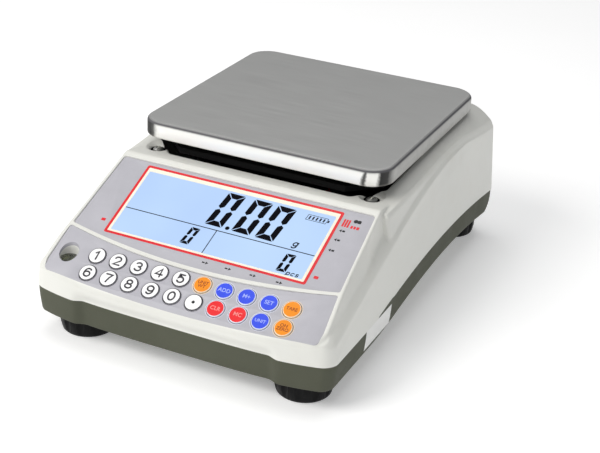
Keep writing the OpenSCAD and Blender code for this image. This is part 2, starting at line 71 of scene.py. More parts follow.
# --------------------------------------------------------------------- node materials
class Mat:
    """A small helper round one node material."""

    def __init__(self, name):
        self.m = bpy.data.materials.new(name)
        self.m.use_nodes = True
        self.t = self.m.node_tree
        self.n = self.t.nodes
        self.p = next(x for x in self.n if x.type == "BSDF_PRINCIPLED")
        self.co = None

    def link(self, a, b):
        self.t.links.new(a, b)

    def node(self, kind, **values):
        x = self.n.new(kind)
        for k, v in values.items():
            setattr(x, k, v)
        return x

    def coords(self, stretch=None):
        if self.co is None:
            self.co = self.node("ShaderNodeTexCoord")
        out = self.co.outputs["Object"]
        if stretch is not None:
            mp = self.node("ShaderNodeMapping")
            mp.inputs["Scale"].default_value = stretch
            self.link(out, mp.inputs["Vector"])
            out = mp.outputs["Vector"]
        return out

    def noise(self, scale, detail=3.0, rough=0.55, stretch=None):
        x = self.node("ShaderNodeTexNoise")
        x.inputs["Scale"].default_value = scale
        x.inputs["Detail"].default_value = detail
        x.inputs["Roughness"].default_value = rough
        self.link(self.coords(stretch), x.inputs["Vector"])
        return x.outputs["Fac"]

    def voronoi(self, scale):
        x = self.node("ShaderNodeTexVoronoi")
        x.inputs["Scale"].default_value = scale
        self.link(self.coords(), x.inputs["Vector"])
        return x.outputs["Distance"]

    def remap(self, value, lo, hi, to_lo, to_hi):
        x = self.node("ShaderNodeMapRange")
        x.inputs["From Min"].default_value = lo
        x.inputs["From Max"].default_value = hi
        x.inputs["To Min"].default_value = to_lo
        x.inputs["To Max"].default_value = to_hi
        self.link(value, x.inputs["Value"])
        return x.outputs["Result"]

    def ramp(self, value, *stops):
        x = self.node("ShaderNodeValToRGB")
        e = x.color_ramp.elements
        while len(e) < len(stops):
            e.new(0.5)
        for el, (pos, col) in zip(e, stops):
            el.position = pos
            el.color = (*col, 1.0)
        self.link(value, x.inputs["Fac"])
        return x.outputs["Color"]

    def mix(self, fac, a, b, mode="MIX"):
        x = self.node("ShaderNodeMix", data_type="RGBA", blend_type=mode)
        if isinstance(fac, (int, float)):
            x.inputs["Factor"].default_value = fac
        else:
            self.link(fac, x.inputs["Factor"])
        for sock, v in ((x.inputs[6], a), (x.inputs[7], b)):
            if isinstance(v, tuple):
                sock.default_value = (*v, 1.0)
            else:
                self.link(v, sock)
        return x.outputs[2]

    def bump(self, height, strength, distance, after=None):
        x = self.node("ShaderNodeBump")
        x.inputs["Strength"].default_value = strength
        x.inputs["Distance"].default_value = distance
        self.link(height, x.inputs["Height"])
        if after is not None:
            self.link(after, x.inputs["Normal"])
        return x.outputs["Normal"]

    def edge(self, lo=0.52, hi=0.62):
        g = self.node("ShaderNodeNewGeometry")
        return self.remap(g.outputs["Pointiness"], lo, hi, 0.0, 1.0)

    def set(self, **values):
        names = {"color": "Base Color", "metal": "Metallic", "rough": "Roughness", "normal": "Normal",
                 "ior": "IOR", "spec": "Specular IOR Level", "coat": "Coat Weight", "coat_rough": "Coat Roughness",
                 "emit": "Emission Color", "power": "Emission Strength", "trans": "Transmission Weight",
                 "aniso": "Anisotropic", "alpha": "Alpha", "sss": "Subsurface Weight"}
        for k, v in values.items():
            s = self.p.inputs[names[k]]
            if hasattr(v, "is_linked"):
                self.link(v, s)
            elif isinstance(v, tuple):
                s.default_value = (*v, 1.0)
            else:
                s.default_value = v
        return self.m


def srgb(r, g, b):
    f = lambda c: c / 12.92 if c <= 0.04045 else ((c + 0.055) / 1.055) ** 2.4
    return (f(r / 255), f(g / 255), f(b / 255))


def shade_of(c, k):
    return tuple(min(1.0, x * k) for x in c)


def moulded(name, col, rough, grain=1500, bump=0.10, vary=0.05, spec=0.45, wear=0.12, soil=None):
    """Injection-moulded plastic: spark-eroded grain, slow tone drift, rubbed edges."""
    w = Mat(name)
    slow = w.noise(11, 4, 0.6)
    fine = w.noise(grain, 2, 0.6)
    c = w.ramp(slow, (0.30, shade_of(col, 1 - vary)), (0.70, shade_of(col, 1 + vary * 0.5)))
    if soil is not None:
        patch = w.remap(w.noise(34, 6, 0.68), 0.56, 0.78, 0.0, 0.32)
        c = w.mix(patch, c, soil)
    c = w.mix(w.remap(fine, 0.35, 0.7, 0.0, 0.07), c, shade_of(col, 0.82))
    e = w.edge()
    c = w.mix(w.remap(e, 0.0, 1.0, 0.0, wear), c, shade_of(col, 1.25))
    r = w.remap(w.noise(60, 5, 0.6), 0.3, 0.75, rough - 0.06, rough + 0.07)
    n = w.bump(fine, bump, 0.00025)
    n = w.bump(w.noise(grain * 0.22, 2, 0.5), bump * 0.5, 0.0004, n)
    return w.set(color=c, rough=r, normal=n, spec=spec)


def printed(name, col, rough=0.42, vary=0.05):
    """Screen-printed ink on a satin film."""
    w = Mat(name)
    mesh = w.noise(2600, 2, 0.5)
    c = w.ramp(w.noise(90, 4, 0.6), (0.32, shade_of(col, 1 - vary)), (0.68, shade_of(col, 1 + vary)))
    r = w.remap(mesh, 0.3, 0.7, rough - 0.05, rough + 0.06)
    return w.set(color=c, rough=r, normal=w.bump(mesh, 0.05, 0.0001), spec=0.4)


def metal(name, col, rough, streak=None, wear=0.0, scratch=0.25):
    w = Mat(name)
    if streak:
        lines = w.noise(260, 3, 0.6, streak)
    else:
        lines = w.noise(420, 4, 0.6)
    c = w.ramp(lines, (0.25, shade_of(col, 0.90)), (0.75, shade_of(col, 1.06)))
    c = w.mix(w.remap(w.noise(18, 4, 0.6), 0.35, 0.75, 0.0, 0.10), c, shade_of(col, 0.8))
    r = w.remap(lines, 0.25, 0.75, rough * (1 - scratch), rough * (1 + scratch))
    n = w.bump(lines, 0.06, 0.00012)
    return w.set(color=c, metal=1.0, rough=r, normal=n)


def satin_steel(name, col, rough):
    """Brushed sheet with very fine, shallow lines across it and a slow cloudiness."""
    w = Mat(name)
    lines_ = w.noise(900, 2, 0.5, (0.03, 1.0, 1.0))
    cloud = w.noise(16, 3, 0.5)
    c = w.ramp(lines_, (0.2, shade_of(col, 0.965)), (0.8, shade_of(col, 1.02)))
    c = w.mix(w.remap(cloud, 0.35, 0.75, 0.0, 0.06), c, shade_of(col, 0.85))
    r = w.remap(lines_, 0.25, 0.75, rough - 0.04, rough + 0.04)
    return w.set(color=c, metal=1.0, rough=r, normal=w.bump(lines_, 0.02, 0.0001))


def painted_reflection_rim(name):
    """Drawn and polished edge of a steel sheet, coloured with painted reflections and painted shade: bright and dark
    bands painted by the way the edge faces, darker towards the lower edge, and dark and grey bands painted on the upper
    turn.
    """
    w = Mat(name)
    g = w.node("ShaderNodeNewGeometry")
    sep = w.node("ShaderNodeSeparateXYZ")
    w.link(g.outputs["Normal"], sep.inputs["Vector"])
    flip = w.node("ShaderNodeMath", operation="MULTIPLY")
    flip.inputs[1].default_value = -1.0
    w.link(sep.outputs["Y"], flip.inputs[0])
    turn = w.node("ShaderNodeMath", operation="ARCTAN2")
    w.link(sep.outputs["X"], turn.inputs[0])
    w.link(flip.outputs[0], turn.inputs[1])
    fine = w.noise(160, 3, 0.6)
    wob = w.node("ShaderNodeMath", operation="ADD")
    w.link(turn.outputs[0], wob.inputs[0])
    w.link(w.remap(fine, 0.3, 0.7, -0.05, 0.05), wob.inputs[1])
    fac = w.remap(wob.outputs[0], -math.pi, math.pi, 0.0, 1.0)
    # painted reflections: bright and dark bands set by the direction the rim faces, standing in for the reflected
    # studio surroundings
    painted_reflection_bands = [(-180, 0.80), (-135, 0.35), (-100, 0.60), (-86, 0.62), (-74, 0.20), (-58, 0.04), (-30, 0.02), (-18, 0.10), (-9, 0.86), (-3, 0.95),
               (4, 0.95), (8, 0.10), (12, 0.10), (17, 0.92), (36, 0.92), (46, 0.03), (64, 0.05), (78, 0.36), (92, 0.50), (108, 0.40), (140, 0.28), (180, 0.80)]
    tone = w.ramp(fac, *[((a + 180) / 360, (k, k * 0.995, k * 0.955)) for a, k in painted_reflection_bands])
    pos = w.node("ShaderNodeSeparateXYZ")
    w.link(w.coords(), pos.inputs["Vector"])
    # painted shade: the rim's colour darkens towards its lower edge
    low = w.remap(pos.outputs["Z"], 0.1046, 0.1062, 1.0, 0.0)
    tone = w.mix(w.remap(low, 0.0, 1.0, 0.0, 0.35), tone, (0.40, 0.39, 0.35))
    # painted reflection: a dark band where the upper turn of the rim tilts upward, and a grey band above it
    painted_dark_band_mask = w.ramp(sep.outputs["Z"], (0.0, (0.0, 0.0, 0.0)), (0.25, (0.2, 0.2, 0.2)), (0.50, (1.0, 1.0, 1.0)), (1.0, (1.0, 1.0, 1.0)))
    tone = w.mix(painted_dark_band_mask, tone, (0.105, 0.103, 0.11))
    tone = w.mix(w.remap(sep.outputs["Z"], 0.72, 0.93, 0.0, 1.0), tone, (0.335, 0.335, 0.33))
    bw = w.node("ShaderNodeRGBToBW")
    w.link(tone, bw.inputs["Color"])
    w.link(w.remap(bw.outputs[0], 0.1, 0.85, 0.0, 0.62), w.p.inputs["Metallic"])
    w.link(w.remap(bw.outputs[0], 0.1, 0.7, 0.62, 0.34), w.p.inputs["Roughness"])
    return w.set(color=tone, spec=0.25, normal=w.bump(w.noise(420, 4, 0.6), 0.04, 0.0001))


IVORY = srgb(227, 227, 221)
OLIVE = srgb(84, 86, 73)
M_ivory = moulded("ivory_plastic", IVORY, 0.38, grain=1700, bump=0.07, vary=0.035, wear=0.10, soil=srgb(214, 211, 200))
M_olive = moulded("olive_plastic", OLIVE, 0.62, grain=1300, bump=0.16, vary=0.08, wear=0.10, soil=srgb(84, 85, 74), spec=0.16)
M_black = moulded("black_plastic", (0.012, 0.012, 0.013), 0.48, grain=1100, bump=0.16, vary=0.25, wear=0.25, soil=(0.03, 0.029, 0.027))
M_knob = moulded("knob_plastic", (0.005, 0.005, 0.0055), 0.42, grain=900, bump=0.20, vary=0.30, wear=0.4, soil=(0.010, 0.0095, 0.009), spec=0.14)
M_matt = moulded("matt_black", (0.008, 0.008, 0.008), 0.8, grain=900, bump=0.15, vary=0.25, wear=0.1, spec=0.12)
M_rubber = moulded("black_rubber", (0.014, 0.014, 0.014), 0.75, grain=700, bump=0.2, vary=0.2, wear=0.1, spec=0.3)
M_panel = printed("panel_film", srgb(182, 181, 188), 0.48, 0.025)
M_white_key = printed("key_white", srgb(250, 250, 250), 0.36, 0.012)
M_orange_key = printed("key_orange", srgb(244, 144, 8), 0.36, 0.05)
M_blue_key = printed("key_blue", srgb(52, 80, 232), 0.36, 0.07)
M_red_key = printed("key_red", srgb(236, 34, 40), 0.36, 0.05)
M_ink_dark = printed("ink_dark", srgb(58, 56, 62), 0.45, 0.08)
M_ink_black = printed("ink_black", (0.006, 0.006, 0.008), 0.45, 0.15)
M_ink_red = printed("ink_red", srgb(222, 30, 40), 0.42, 0.05)
M_ink_cream = printed("ink_cream", srgb(246, 240, 222), 0.45, 0.02)
M_ink_pale = printed("ink_pale", srgb(226, 230, 244), 0.45, 0.02)
M_ink_peach = printed("ink_peach", srgb(248, 226, 196), 0.45, 0.02)
M_ink_light_blue = printed("ink_light_blue", srgb(168, 184, 255), 0.45, 0.04)
M_ink_rose = printed("ink_rose", srgb(255, 150, 146), 0.45, 0.04)
M_ink_brown = printed("ink_brown", srgb(150, 62, 8), 0.45, 0.06)
M_label = printed("label_white", srgb(238, 238, 236), 0.40, 0.02)
M_pan_top = satin_steel("pan_satin", srgb(212, 212, 210), 0.52)
# the pan rim material paints reflections and shade into its colour
M_pan_rim_painted_light = painted_reflection_rim("pan_rim_painted_reflection")
M_steel = metal("zinc_steel", srgb(196, 197, 198), 0.28)
M_screw = metal("screw_nickel", srgb(236, 236, 232), 0.36)
M_alu = metal("machined_aluminium", srgb(200, 202, 206), 0.36, streak=(1.0, 0.05, 1.0))
M_brass = metal("turned_brass", srgb(205, 165, 88), 0.30)
M_silicone = moulded("silicone", srgb(196, 196, 190), 0.6, grain=900, bump=0.08)
M_battery = moulded("battery_case", srgb(60, 60, 64), 0.5, grain=900, bump=0.12)
M_rocker = moulded("rocker_red", srgb(190, 26, 24), 0.32, grain=1400, bump=0.05, wear=0.2)
M_cable_grey = moulded("cable_grey", srgb(140, 140, 146), 0.5, grain=800, bump=0.1)
M_cable_red = moulded("cable_red", srgb(178, 30, 30), 0.45, grain=800, bump=0.1)


def board_material():
    w = Mat("board_green")
    tracks = w.node("ShaderNodeTexBrick")
    tracks.inputs["Scale"].default_value = 160
    tracks.inputs["Mortar Size"].default_value = 0.035
    tracks.inputs["Color1"].default_value = (0.010, 0.085, 0.030, 1)
    tracks.inputs["Color2"].default_value = (0.012, 0.100, 0.036, 1)
    tracks.inputs["Mortar"].default_value = (0.025, 0.17, 0.06, 1)
    w.link(w.coords(), tracks.inputs["Vector"])
    r = w.remap(w.noise(300, 3), 0.3, 0.7, 0.25, 0.4)
    return w.set(color=tracks.outputs["Color"], rough=r, normal=w.bump(w.noise(700), 0.08, 0.0002))


M_board = board_material()


def lcd_material():
    w = Mat("lcd_backlit")
    even = w.noise(14, 2, 0.5)
    c = w.ramp(even, (0.35, srgb(184, 212, 252)), (0.65, srgb(192, 220, 255)))
    pix = w.noise(2200, 1, 0.4)
    r = w.remap(pix, 0.3, 0.7, 0.28, 0.36)
    w.link(c, w.p.inputs["Emission Color"])
    return w.set(color=srgb(40, 46, 56), rough=r, power=0.97, spec=0.12, normal=w.bump(pix, 0.03, 0.0001))


def lcd_ink(name, col):
    w = Mat(name)
    c = w.ramp(w.noise(200, 3), (0.3, shade_of(col, 0.8)), (0.7, shade_of(col, 1.2)))
    return w.set(color=c, rough=w.remap(w.noise(900, 2), 0.3, 0.7, 0.6, 0.75), spec=0.03)


def clear_material(name, tint, rough=0.03, ior=1.46):
    w = Mat(name)
    smear = w.noise(70, 5, 0.6)
    c = w.ramp(smear, (0.3, tint), (0.7, shade_of(tint, 0.985)))
    r = w.remap(smear, 0.35, 0.75, rough, rough + 0.03)
    return w.set(color=c, rough=r, trans=1.0, ior=ior)


M_lcd = lcd_material()
M_lcd_black = lcd_ink("lcd_black", (0.004, 0.004, 0.006))
M_lcd_grey = lcd_ink("lcd_grey", (0.03, 0.035, 0.05))
M_window = clear_material("window_clear", (0.985, 0.99, 1.0), 0.02, 1.18)
M_vial = clear_material("vial_clear", (0.95, 0.97, 0.94), 0.03, 1.45)
M_fluid = clear_material("vial_fluid", srgb(150, 158, 70), 0.02, 1.33)


def light_guide():
    w = Mat("light_guide")
    c = w.ramp(w.noise(40), (0.3, srgb(224, 234, 250)), (0.7, srgb(236, 244, 255)))
    return w.set(color=c, rough=w.remap(w.noise(500), 0.3, 0.7, 0.2, 0.35), power=0.0)


M_guide = light_guide()


# --------------------------------------------------------------------- mesh tools (millimetres in, metres out)
def mesh_of(name, verts, faces):
    me = bpy.data.meshes.new(name)
    v = np.asarray(verts, np.float64) * MM
    if isinstance(faces, np.ndarray):
        n, k = faces.shape
        me.vertices.add(len(v))
        me.vertices.foreach_set("co", v.ravel().astype(np.float32))
        me.loops.add(n * k)
        me.loops.foreach_set("vertex_index", faces.ravel().astype(np.int32))
        me.polygons.add(n)
        me.polygons.foreach_set("loop_start", np.arange(0, n * k, k, dtype=np.int32))
        me.update(calc_edges=True)
        me.validate()
    else:
        me.from_pydata([tuple(p) for p in v], [], [tuple(int(i) for i in f) for f in faces])
        me.update()
    return me


def solid(name, verts, faces, fix=True):
    me = mesh_of(name, verts, faces)
    if fix:
        bm = bmesh.new()
        bm.from_mesh(me)
        bmesh.ops.remove_doubles(bm, verts=bm.verts, dist=2e-7)
        bmesh.ops.recalc_face_normals(bm, faces=bm.faces)
        bm.to_mesh(me)
        bm.free()
    o = bpy.data.objects.new(name, me)
    scene.collection.objects.link(o)
    return o


def shade(o, angle=34):
    me = o.data
    me.polygons.foreach_set("use_smooth", np.ones(len(me.polygons), bool))
    me.set_sharp_from_angle(angle=math.radians(angle))
    me.update()
    return o


def baked(o):
    """Replaces an object's mesh by its modified mesh and drops the modifiers."""
    dg = bpy.context.evaluated_depsgraph_get()
    dg.update()
    me = bpy.data.meshes.new_from_object(o.evaluated_get(dg))
    old = o.data
    o.modifiers.clear()
    o.data = me
    bpy.data.meshes.remove(old)
    return o


def carve(o, *cutters, op="DIFFERENCE"):
    for c in cutters:
        md = o.modifiers.new("cut", "BOOLEAN")
        md.operation = op
        md.solver = "MANIFOLD"
        md.object = c
        baked(o)
        me = c.data
        bpy.data.objects.remove(c)
        bpy.data.meshes.remove(me)
    return o


def bevel(o, width, segments=2, angle=32):
    md = o.modifiers.new("round", "BEVEL")
    md.width = width * MM
    md.segments = segments
    md.limit_method = "ANGLE"
    md.angle_limit = math.radians(angle)
    md.harden_normals = False
    return o


def loft(rings, cap0=True, cap1=True, closed=True):
    n = len(rings[0])
    v = np.vstack(rings)
    f = []
    last = n if closed else n - 1
    for k in range(len(rings) - 1):
        for i in range(last):
            j = (i + 1) % n
            f.append((k * n + i, k * n + j, (k + 1) * n + j, (k + 1) * n + i))
    if cap0:
        f.append(tuple(range(n))[::-1])
    if cap1:
        b = (len(rings) - 1) * n
        f.append(tuple(range(b, b + n)))
    return v, f


def prism(name, outline, levels):
    """A closed prism: levels are (offset outward, height), the outline is CCW points (x, y)."""
    p = np.asarray(outline, float)
    rings = []
    for off, z in levels:
        q = grow(p, off)
        rings.append(np.column_stack([q, np.full(len(q), z)]))
    v, f = loft(rings)
    return solid(name, v, f)


def grow(p, d):
    if abs(d) < 1e-9:
        return p.copy()
    a = np.roll(p, 1, 0)
    b = np.roll(p, -1, 0)
    e1 = p - a
    e2 = b - p
    e1 /= np.linalg.norm(e1, axis=1)[:, None] + 1e-12
    e2 /= np.linalg.norm(e2, axis=1)[:, None] + 1e-12
    n1 = np.column_stack([e1[:, 1], -e1[:, 0]])
    n2 = np.column_stack([e2[:, 1], -e2[:, 0]])
    n = n1 + n2
    n /= np.linalg.norm(n, axis=1)[:, None] + 1e-12
    k = np.clip((n * n1).sum(1), 0.3, 1.0)
    return p + n * (d / k)[:, None]


def rounded(points, r, steps=6):
    """Rounds every corner of a CCW polygon by its own radius."""
    p = np.asarray(points, float)
    rr = np.broadcast_to(np.asarray(r, float), (len(p),))
    out = []
    for i in range(len(p)):
        a, b, c = p[i - 1], p[i], p[(i + 1) % len(p)]
        if rr[i] <= 0:
            out.append(b)
            continue
        u = (a - b) / np.linalg.norm(a - b)
        w = (c - b) / np.linalg.norm(c - b)
        half = math.acos(np.clip(np.dot(u, w), -1, 1)) / 2
        t = rr[i] / math.tan(half)
        s, e = b + u * t, b + w * t
        mid = (u + w) / np.linalg.norm(u + w)
        o = b + mid * (rr[i] / math.sin(half))
        a0 = math.atan2(*(s - o)[::-1])
        a1 = math.atan2(*(e - o)[::-1])
        da = (a1 - a0 + math.pi) % (2 * math.pi) - math.pi
        for k in range(steps + 1):
            t_ = a0 + da * k / steps
            out.append(o + rr[i] * np.array([math.cos(t_), math.sin(t_)]))
    return np.array(out)


def ring_xy(r, n=64, cx=0.0, cy=0.0):
    t = np.arange(n) * 2 * math.pi / n
    return np.column_stack([cx + r * np.cos(t), cy + r * np.sin(t)])


def lathe(profile, n=64, wave=None):
    """Turns (radius, height) points round Z; wave(angle, radius, height) may change the radius."""
    t = np.arange(n) * 2 * math.pi / n
    rings = []
    for r, z in profile:
        rad = np.full(n, float(r)) if wave is None else wave(t, r, z)
        rings.append(np.column_stack([rad * np.cos(t), rad * np.sin(t), np.full(n, float(z))]))
    return loft(rings)


def placed(o, mat4):
    o.data.transform(mat4)
    o.data.update()
    return o


def tilt_frame(deg):
    """From local (x, along slope, normal) on a panel to the row frame, in metres."""
    return Matrix.Translation((0, -121.5 * MM, 63.3 * MM)) @ Matrix.Rotation(math.radians(deg), 4, "X")


ON_DISPLAY = tilt_frame(24.2)
ON_KEYPAD = tilt_frame(31.6)


def dress(o, body, mat, slot, *nodes):
    if mat is not None:
        o.data.materials.clear()
        o.data.materials.append(mat)
    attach(o, body)
    if nodes:
        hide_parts(*nodes)
    return o


# --------------------------------------------------------------------- implicit shapes
def rmax(a, b, r):
    """Intersection of two half-spaces with a round edge of radius r."""
    u = np.maximum(a + r, 0)
    v = np.maximum(b + r, 0)
    return np.minimum(np.maximum(a, b) + r, 0) + np.sqrt(u * u + v * v) - r


def smin(a, b, k):
    h = np.clip(0.5 + 0.5 * (b - a) / k, 0, 1)
    return b * (1 - h) + a * h - k * h * (1 - h)


def step(t):
    t = np.clip(t, 0, 1)
    return t * t * (3 - 2 * t)


def curve(points):
    """A smooth monotone curve through (x, y) points."""
    x = np.array([p[0] for p in points], float)
    y = np.array([p[1] for p in points], float)
    h = np.diff(x)
    d = np.diff(y) / h
    s = np.zeros(len(x))
    s[0], s[-1] = d[0], d[-1]
    for i in range(1, len(x) - 1):
        if d[i - 1] * d[i] > 0:
            w1, w2 = 2 * h[i] + h[i - 1], h[i] + 2 * h[i - 1]
            s[i] = (w1 + w2) / (w1 / d[i - 1] + w2 / d[i])

    def at(q):
        q = np.clip(q, x[0], x[-1])
        i = np.clip(np.searchsorted(x, q) - 1, 0, len(h) - 1)
        t = (q - x[i]) / h[i]
        a, b = t * t * (3 - 2 * t), t * (1 - t)
        return y[i] * (1 - a) + y[i + 1] * a + h[i] * b * (s[i] * (1 - t) - s[i + 1] * t)

    return at


def implicit(name, f, xs, ys, ws, z_of=None, rounds=4):
    """Meshes f(x, y, z) = 0 on a grid; z_of(x, y, w) bends the third axis."""
    x, y, w = xs[:, None, None], ys[None, :, None], ws[None, None, :]
    z = np.broadcast_to(z_of(x, y, w) if z_of else w, (len(xs), len(ys), len(ws)))
    val = np.asarray(f(x, y, z), np.float64)
    val = np.broadcast_to(val, z.shape).copy()
    val[np.abs(val) < 1e-9] = 1e-9
    inside = val < 0
    cells = [slice(0, -1), slice(1, None)]
    count = sum(inside[cells[i], cells[j], cells[k]].astype(np.int8) for i in (0, 1) for j in (0, 1) for k in (0, 1))
    mixed = (count > 0) & (count < 8)
    ci, cj, ck = np.nonzero(mixed)
    index = np.full(mixed.shape, -1, np.int64)
    index[mixed] = np.arange(len(ci))
    acc = np.zeros((len(ci), 3))
    num = np.zeros(len(ci))
    corner = [(i, j, k) for i in (0, 1) for j in (0, 1) for k in (0, 1)]
    for a in corner:
        for b in corner:
            if a < b and sum(abs(p - q) for p, q in zip(a, b)) == 1:
                ia, ja, ka = ci + a[0], cj + a[1], ck + a[2]
                ib, jb, kb = ci + b[0], cj + b[1], ck + b[2]
                fa, fb = val[ia, ja, ka], val[ib, jb, kb]
                cut = (fa < 0) != (fb < 0)
                t = np.where(cut, fa / np.where(cut, fa - fb, 1), 0)
                pa = np.column_stack([xs[ia], ys[ja], z[ia, ja, ka]])
                pb = np.column_stack([xs[ib], ys[jb], z[ib, jb, kb]])
                acc += np.where(cut[:, None], pa + (pb - pa) * t[:, None], 0)
                num += cut
    v = acc / num[:, None]
    quads = []
    for axis in range(3):
        lo = [slice(None)] * 3
        hi = [slice(None)] * 3
        lo[axis], hi[axis] = slice(0, -1), slice(1, None)
        change = inside[tuple(lo)] != inside[tuple(hi)]
        i, j, k = np.nonzero(change)
        first = inside[tuple(lo)][i, j, k]
        sz = mixed.shape
        if axis == 0:
            ok = (j > 0) & (j < sz[1]) & (k > 0) & (k < sz[2])
            i, j, k, first = i[ok], j[ok], k[ok], first[ok]
            q = np.column_stack([index[i, j - 1, k - 1], index[i, j, k - 1], index[i, j, k], index[i, j - 1, k]])
        elif axis == 1:
            ok = (i > 0) & (i < sz[0]) & (k > 0) & (k < sz[2])
            i, j, k, first = i[ok], j[ok], k[ok], first[ok]
            q = np.column_stack([index[i - 1, j, k - 1], index[i - 1, j, k], index[i, j, k], index[i, j, k - 1]])
        else:
            ok = (i > 0) & (i < sz[0]) & (j > 0) & (j < sz[1])
            i, j, k, first = i[ok], j[ok], k[ok], first[ok]
            q = np.column_stack([index[i - 1, j - 1, k], index[i, j - 1, k], index[i, j, k], index[i - 1, j, k]])
        quads.append(np.where(first[:, None], q, q[:, ::-1]))
    quads = np.vstack(quads)
    e = 0.02
    for _ in range(rounds):
        X, Y, Z = v[:, 0], v[:, 1], v[:, 2]
        f0 = f(X, Y, Z)
        g = np.column_stack([(f(X + e, Y, Z) - f(X - e, Y, Z)), (f(X, Y + e, Z) - f(X, Y - e, Z)),
                             (f(X, Y, Z + e) - f(X, Y, Z - e))]) / (2 * e)
        g2 = (g * g).sum(1) + 1e-6
        move = -(f0 / g2)[:, None] * g
        size = np.linalg.norm(move, axis=1)
        move *= np.minimum(1, 0.6 / (size + 1e-9))[:, None]
        v = v + move
    me = mesh_of(name, v, quads)
    o = bpy.data.objects.new(name, me)
    scene.collection.objects.link(o)
    return o


def lines(*spans):
    """Grid lines from (start, end, spacing) spans laid end to end."""
    out = []
    for a, b, h in spans:
        n = max(1, round((b - a) / h))
        out.extend(np.linspace(a, b, n, endpoint=False))
    out.append(spans[-1][1])
    return np.array(out)


# --------------------------------------------------------------------- case shape
TD, TK = math.tan(math.radians(24.2)), math.tan(math.radians(31.6))
CD, CK = math.cos(math.radians(24.2)), math.cos(math.radians(31.6))


def part_line(y):
    return np.maximum(33.0, 42.5 - 780 + np.sqrt(np.maximum(780.0 ** 2 - (y - 46) ** 2, 0)))


def side_x(z):
    return 105 - 0.072 * np.maximum(z - 36, 0)


def front_y(ax, z):
    lip = -152 + 6.2 * (np.minimum(ax, 108) / 95) ** 4
    middle = 1 - step((ax - 64) / 9)
    return lip + 3.4 * middle * (1 - step((z - 33) / 9))


ledge_z = curve([(-170, 38), (-138.7, 48), (-112, 56), (-85, 64.0), (-60, 70.9), (-47, 74.3), (-25.8, 80.4), (-3.6, 85.7), (19.5, 90.0),
                 (43.6, 93.2), (61, 94.6), (74, 95.2), (87, 95.0), (110, 92.4), (135, 89.0), (150, 87.4), (160, 86.6)])
rim_x = curve([(-170, 100.2), (-140, 98.7), (-131, 98.2), (-121.5, 97.3), (-110, 96.2), (-93, 95.1), (-75, 94.4),
               (-56, 93.3), (-40, 92.6)])
deck_x = curve([(-60, 97.2), (-43.4, 97.4), (-17.5, 98.0), (8, 98.4), (34, 98.6), (63, 99.0), (85, 99.5), (110, 100.2), (135, 100.7), (160, 101)])
deck_edge_z = curve([(-60, 90.0), (-43.4, 90.4), (-17.5, 91.4), (8, 92.9), (34, 95.0), (63, 96.5), (85, 96.2), (110, 93.0), (135, 89.6), (150, 88.0), (160, 87.2)])
deck_mid_z = curve([(-60, 94.8), (-45, 94.9), (-20, 96.4), (10, 98.7), (30, 100.0), (60, 101.2), (85, 101.5), (160, 101.5)])
deck_round = curve([(-60, 1.7), (40, 1.7), (70, 1.7), (100, 2.0), (160, 2.4)])
ledge_round = curve([(-170, 4.0), (-100, 2.6), (-40, 1.5), (20, 1.1), (160, 1.2)])


def panel_top(y):
    a = 63.3 + (y + 121.5) * TD + 1.0 / CD
    b = 63.3 + (y + 121.5) * TK + 1.0 / CK
    s = 95.8 - (y + 51.7) * 0.14
    return smin(smin(a, b, 1.2), np.maximum(s, 92.4), 1.0)


def housing(x, y, z):
    ax = np.abs(x)
    sx = side_x(z)
    a = (ax - sx) * 0.997
    front = front_y(ax, z) - y
    plan = rmax(rmax(a, front, 7), y - 152.6 + 0.03 * np.maximum(z - 40, 0), 3)
    top = panel_top(y)
    deck = deck_mid_z(y)
    xa, za = deck_x(y), deck_edge_z(y)
    out = np.clip((ax - 80) / (xa - 80), 0, 1.6)
    h = deck - (deck - za - 1.2) * out * out + 0.55 * np.exp(-((ax - xa + 1.6) / 1.5) ** 2)
    # frame round the two panels
    rx = rim_x(y)
    lean = 0.35 - 0.23 * step((y + 94) / 34)
    wall = rmax((ax - rx - lean * (top - z)) * 0.944, front, 8)
    lip = 0.9 + 1.3 * step((-y - 139) / 9)
    face = rmax(wall, (z - top) * 0.9, lip)
    face = np.maximum(np.maximum(face, y + 37), plan)
    # deck beside and behind the pan
    sides = np.maximum((ax - xa - 0.2 * (za - z)) * 0.98, a)
    top_deck = (z - h) * 0.97
    dk = rmax(sides, top_deck, deck_round(y))
    dk = rmax(dk, -50.0 - y, 2.6)
    dk = rmax(dk, y - 152.6 + 0.03 * np.maximum(z - 40, 0), 3)
    dk = np.maximum(dk, plan)
    # lower body up to the ledge
    led = ledge_z(y) + (sx - ax) * 0.75
    low = rmax(plan, (z - led) * 0.8, ledge_round(y))
    roof = np.where(y < -46, top - 2.6, h - 2.6)
    low = np.maximum(low, z - roof)
    return smin(smin(face, dk, 0.8), low, 1.6)


def housing_inside(x, y, z):
    f = housing(x, y, z) + 3.0
    cover = np.where(y < -44, z - panel_top(y) + 6.9, -50)
    return np.maximum(f, cover)


WELL = rounded([(-66, -39.2), (66, -39.2), (84, -21.2), (84, 117), (66, 135), (-66, 135), (-84, 117), (-84, -21.2)],
               [3, 3, 5, 5, 5, 5, 5, 5], 5)


def well_cutter():
    rings = []
    q0 = WELL
    for off, dz in ((0, None), (0, -0.9), (0.25, -0.35), (0.9, 0.1), (2.2, 0.9)):
        q = grow(q0, off)
        ax = np.abs(q[:, 0])
        y = q[:, 1]
        if dz is None:
            z = np.full(len(q), 60.0)
        else:
            out = np.clip((ax - 80) / (deck_x(y) - 80), 0, 1.6)
            surf = deck_mid_z(y) - (deck_mid_z(y) - deck_edge_z(y) - 1.2) * out * out
            front = panel_top(y)
            k = step((y + 44) / 10) if True else 0
            surf = np.where(ax < 92, np.maximum(surf * k + front * (1 - k), front * (y < -36) + 0), surf)
            z = surf + dz
        rings.append(np.column_stack([q, z]))
    rings.append(np.column_stack([grow(q0, 2.2), np.full(len(q0), 125.0)]))
    v, f = loft(rings)
    return solid("well_cut", v, f)


def arc_points(cy_, r, x0, x1, n):
    x = np.linspace(x0, x1, n)
    return np.column_stack([x, cy_ - np.sqrt(r * r - x * x)])


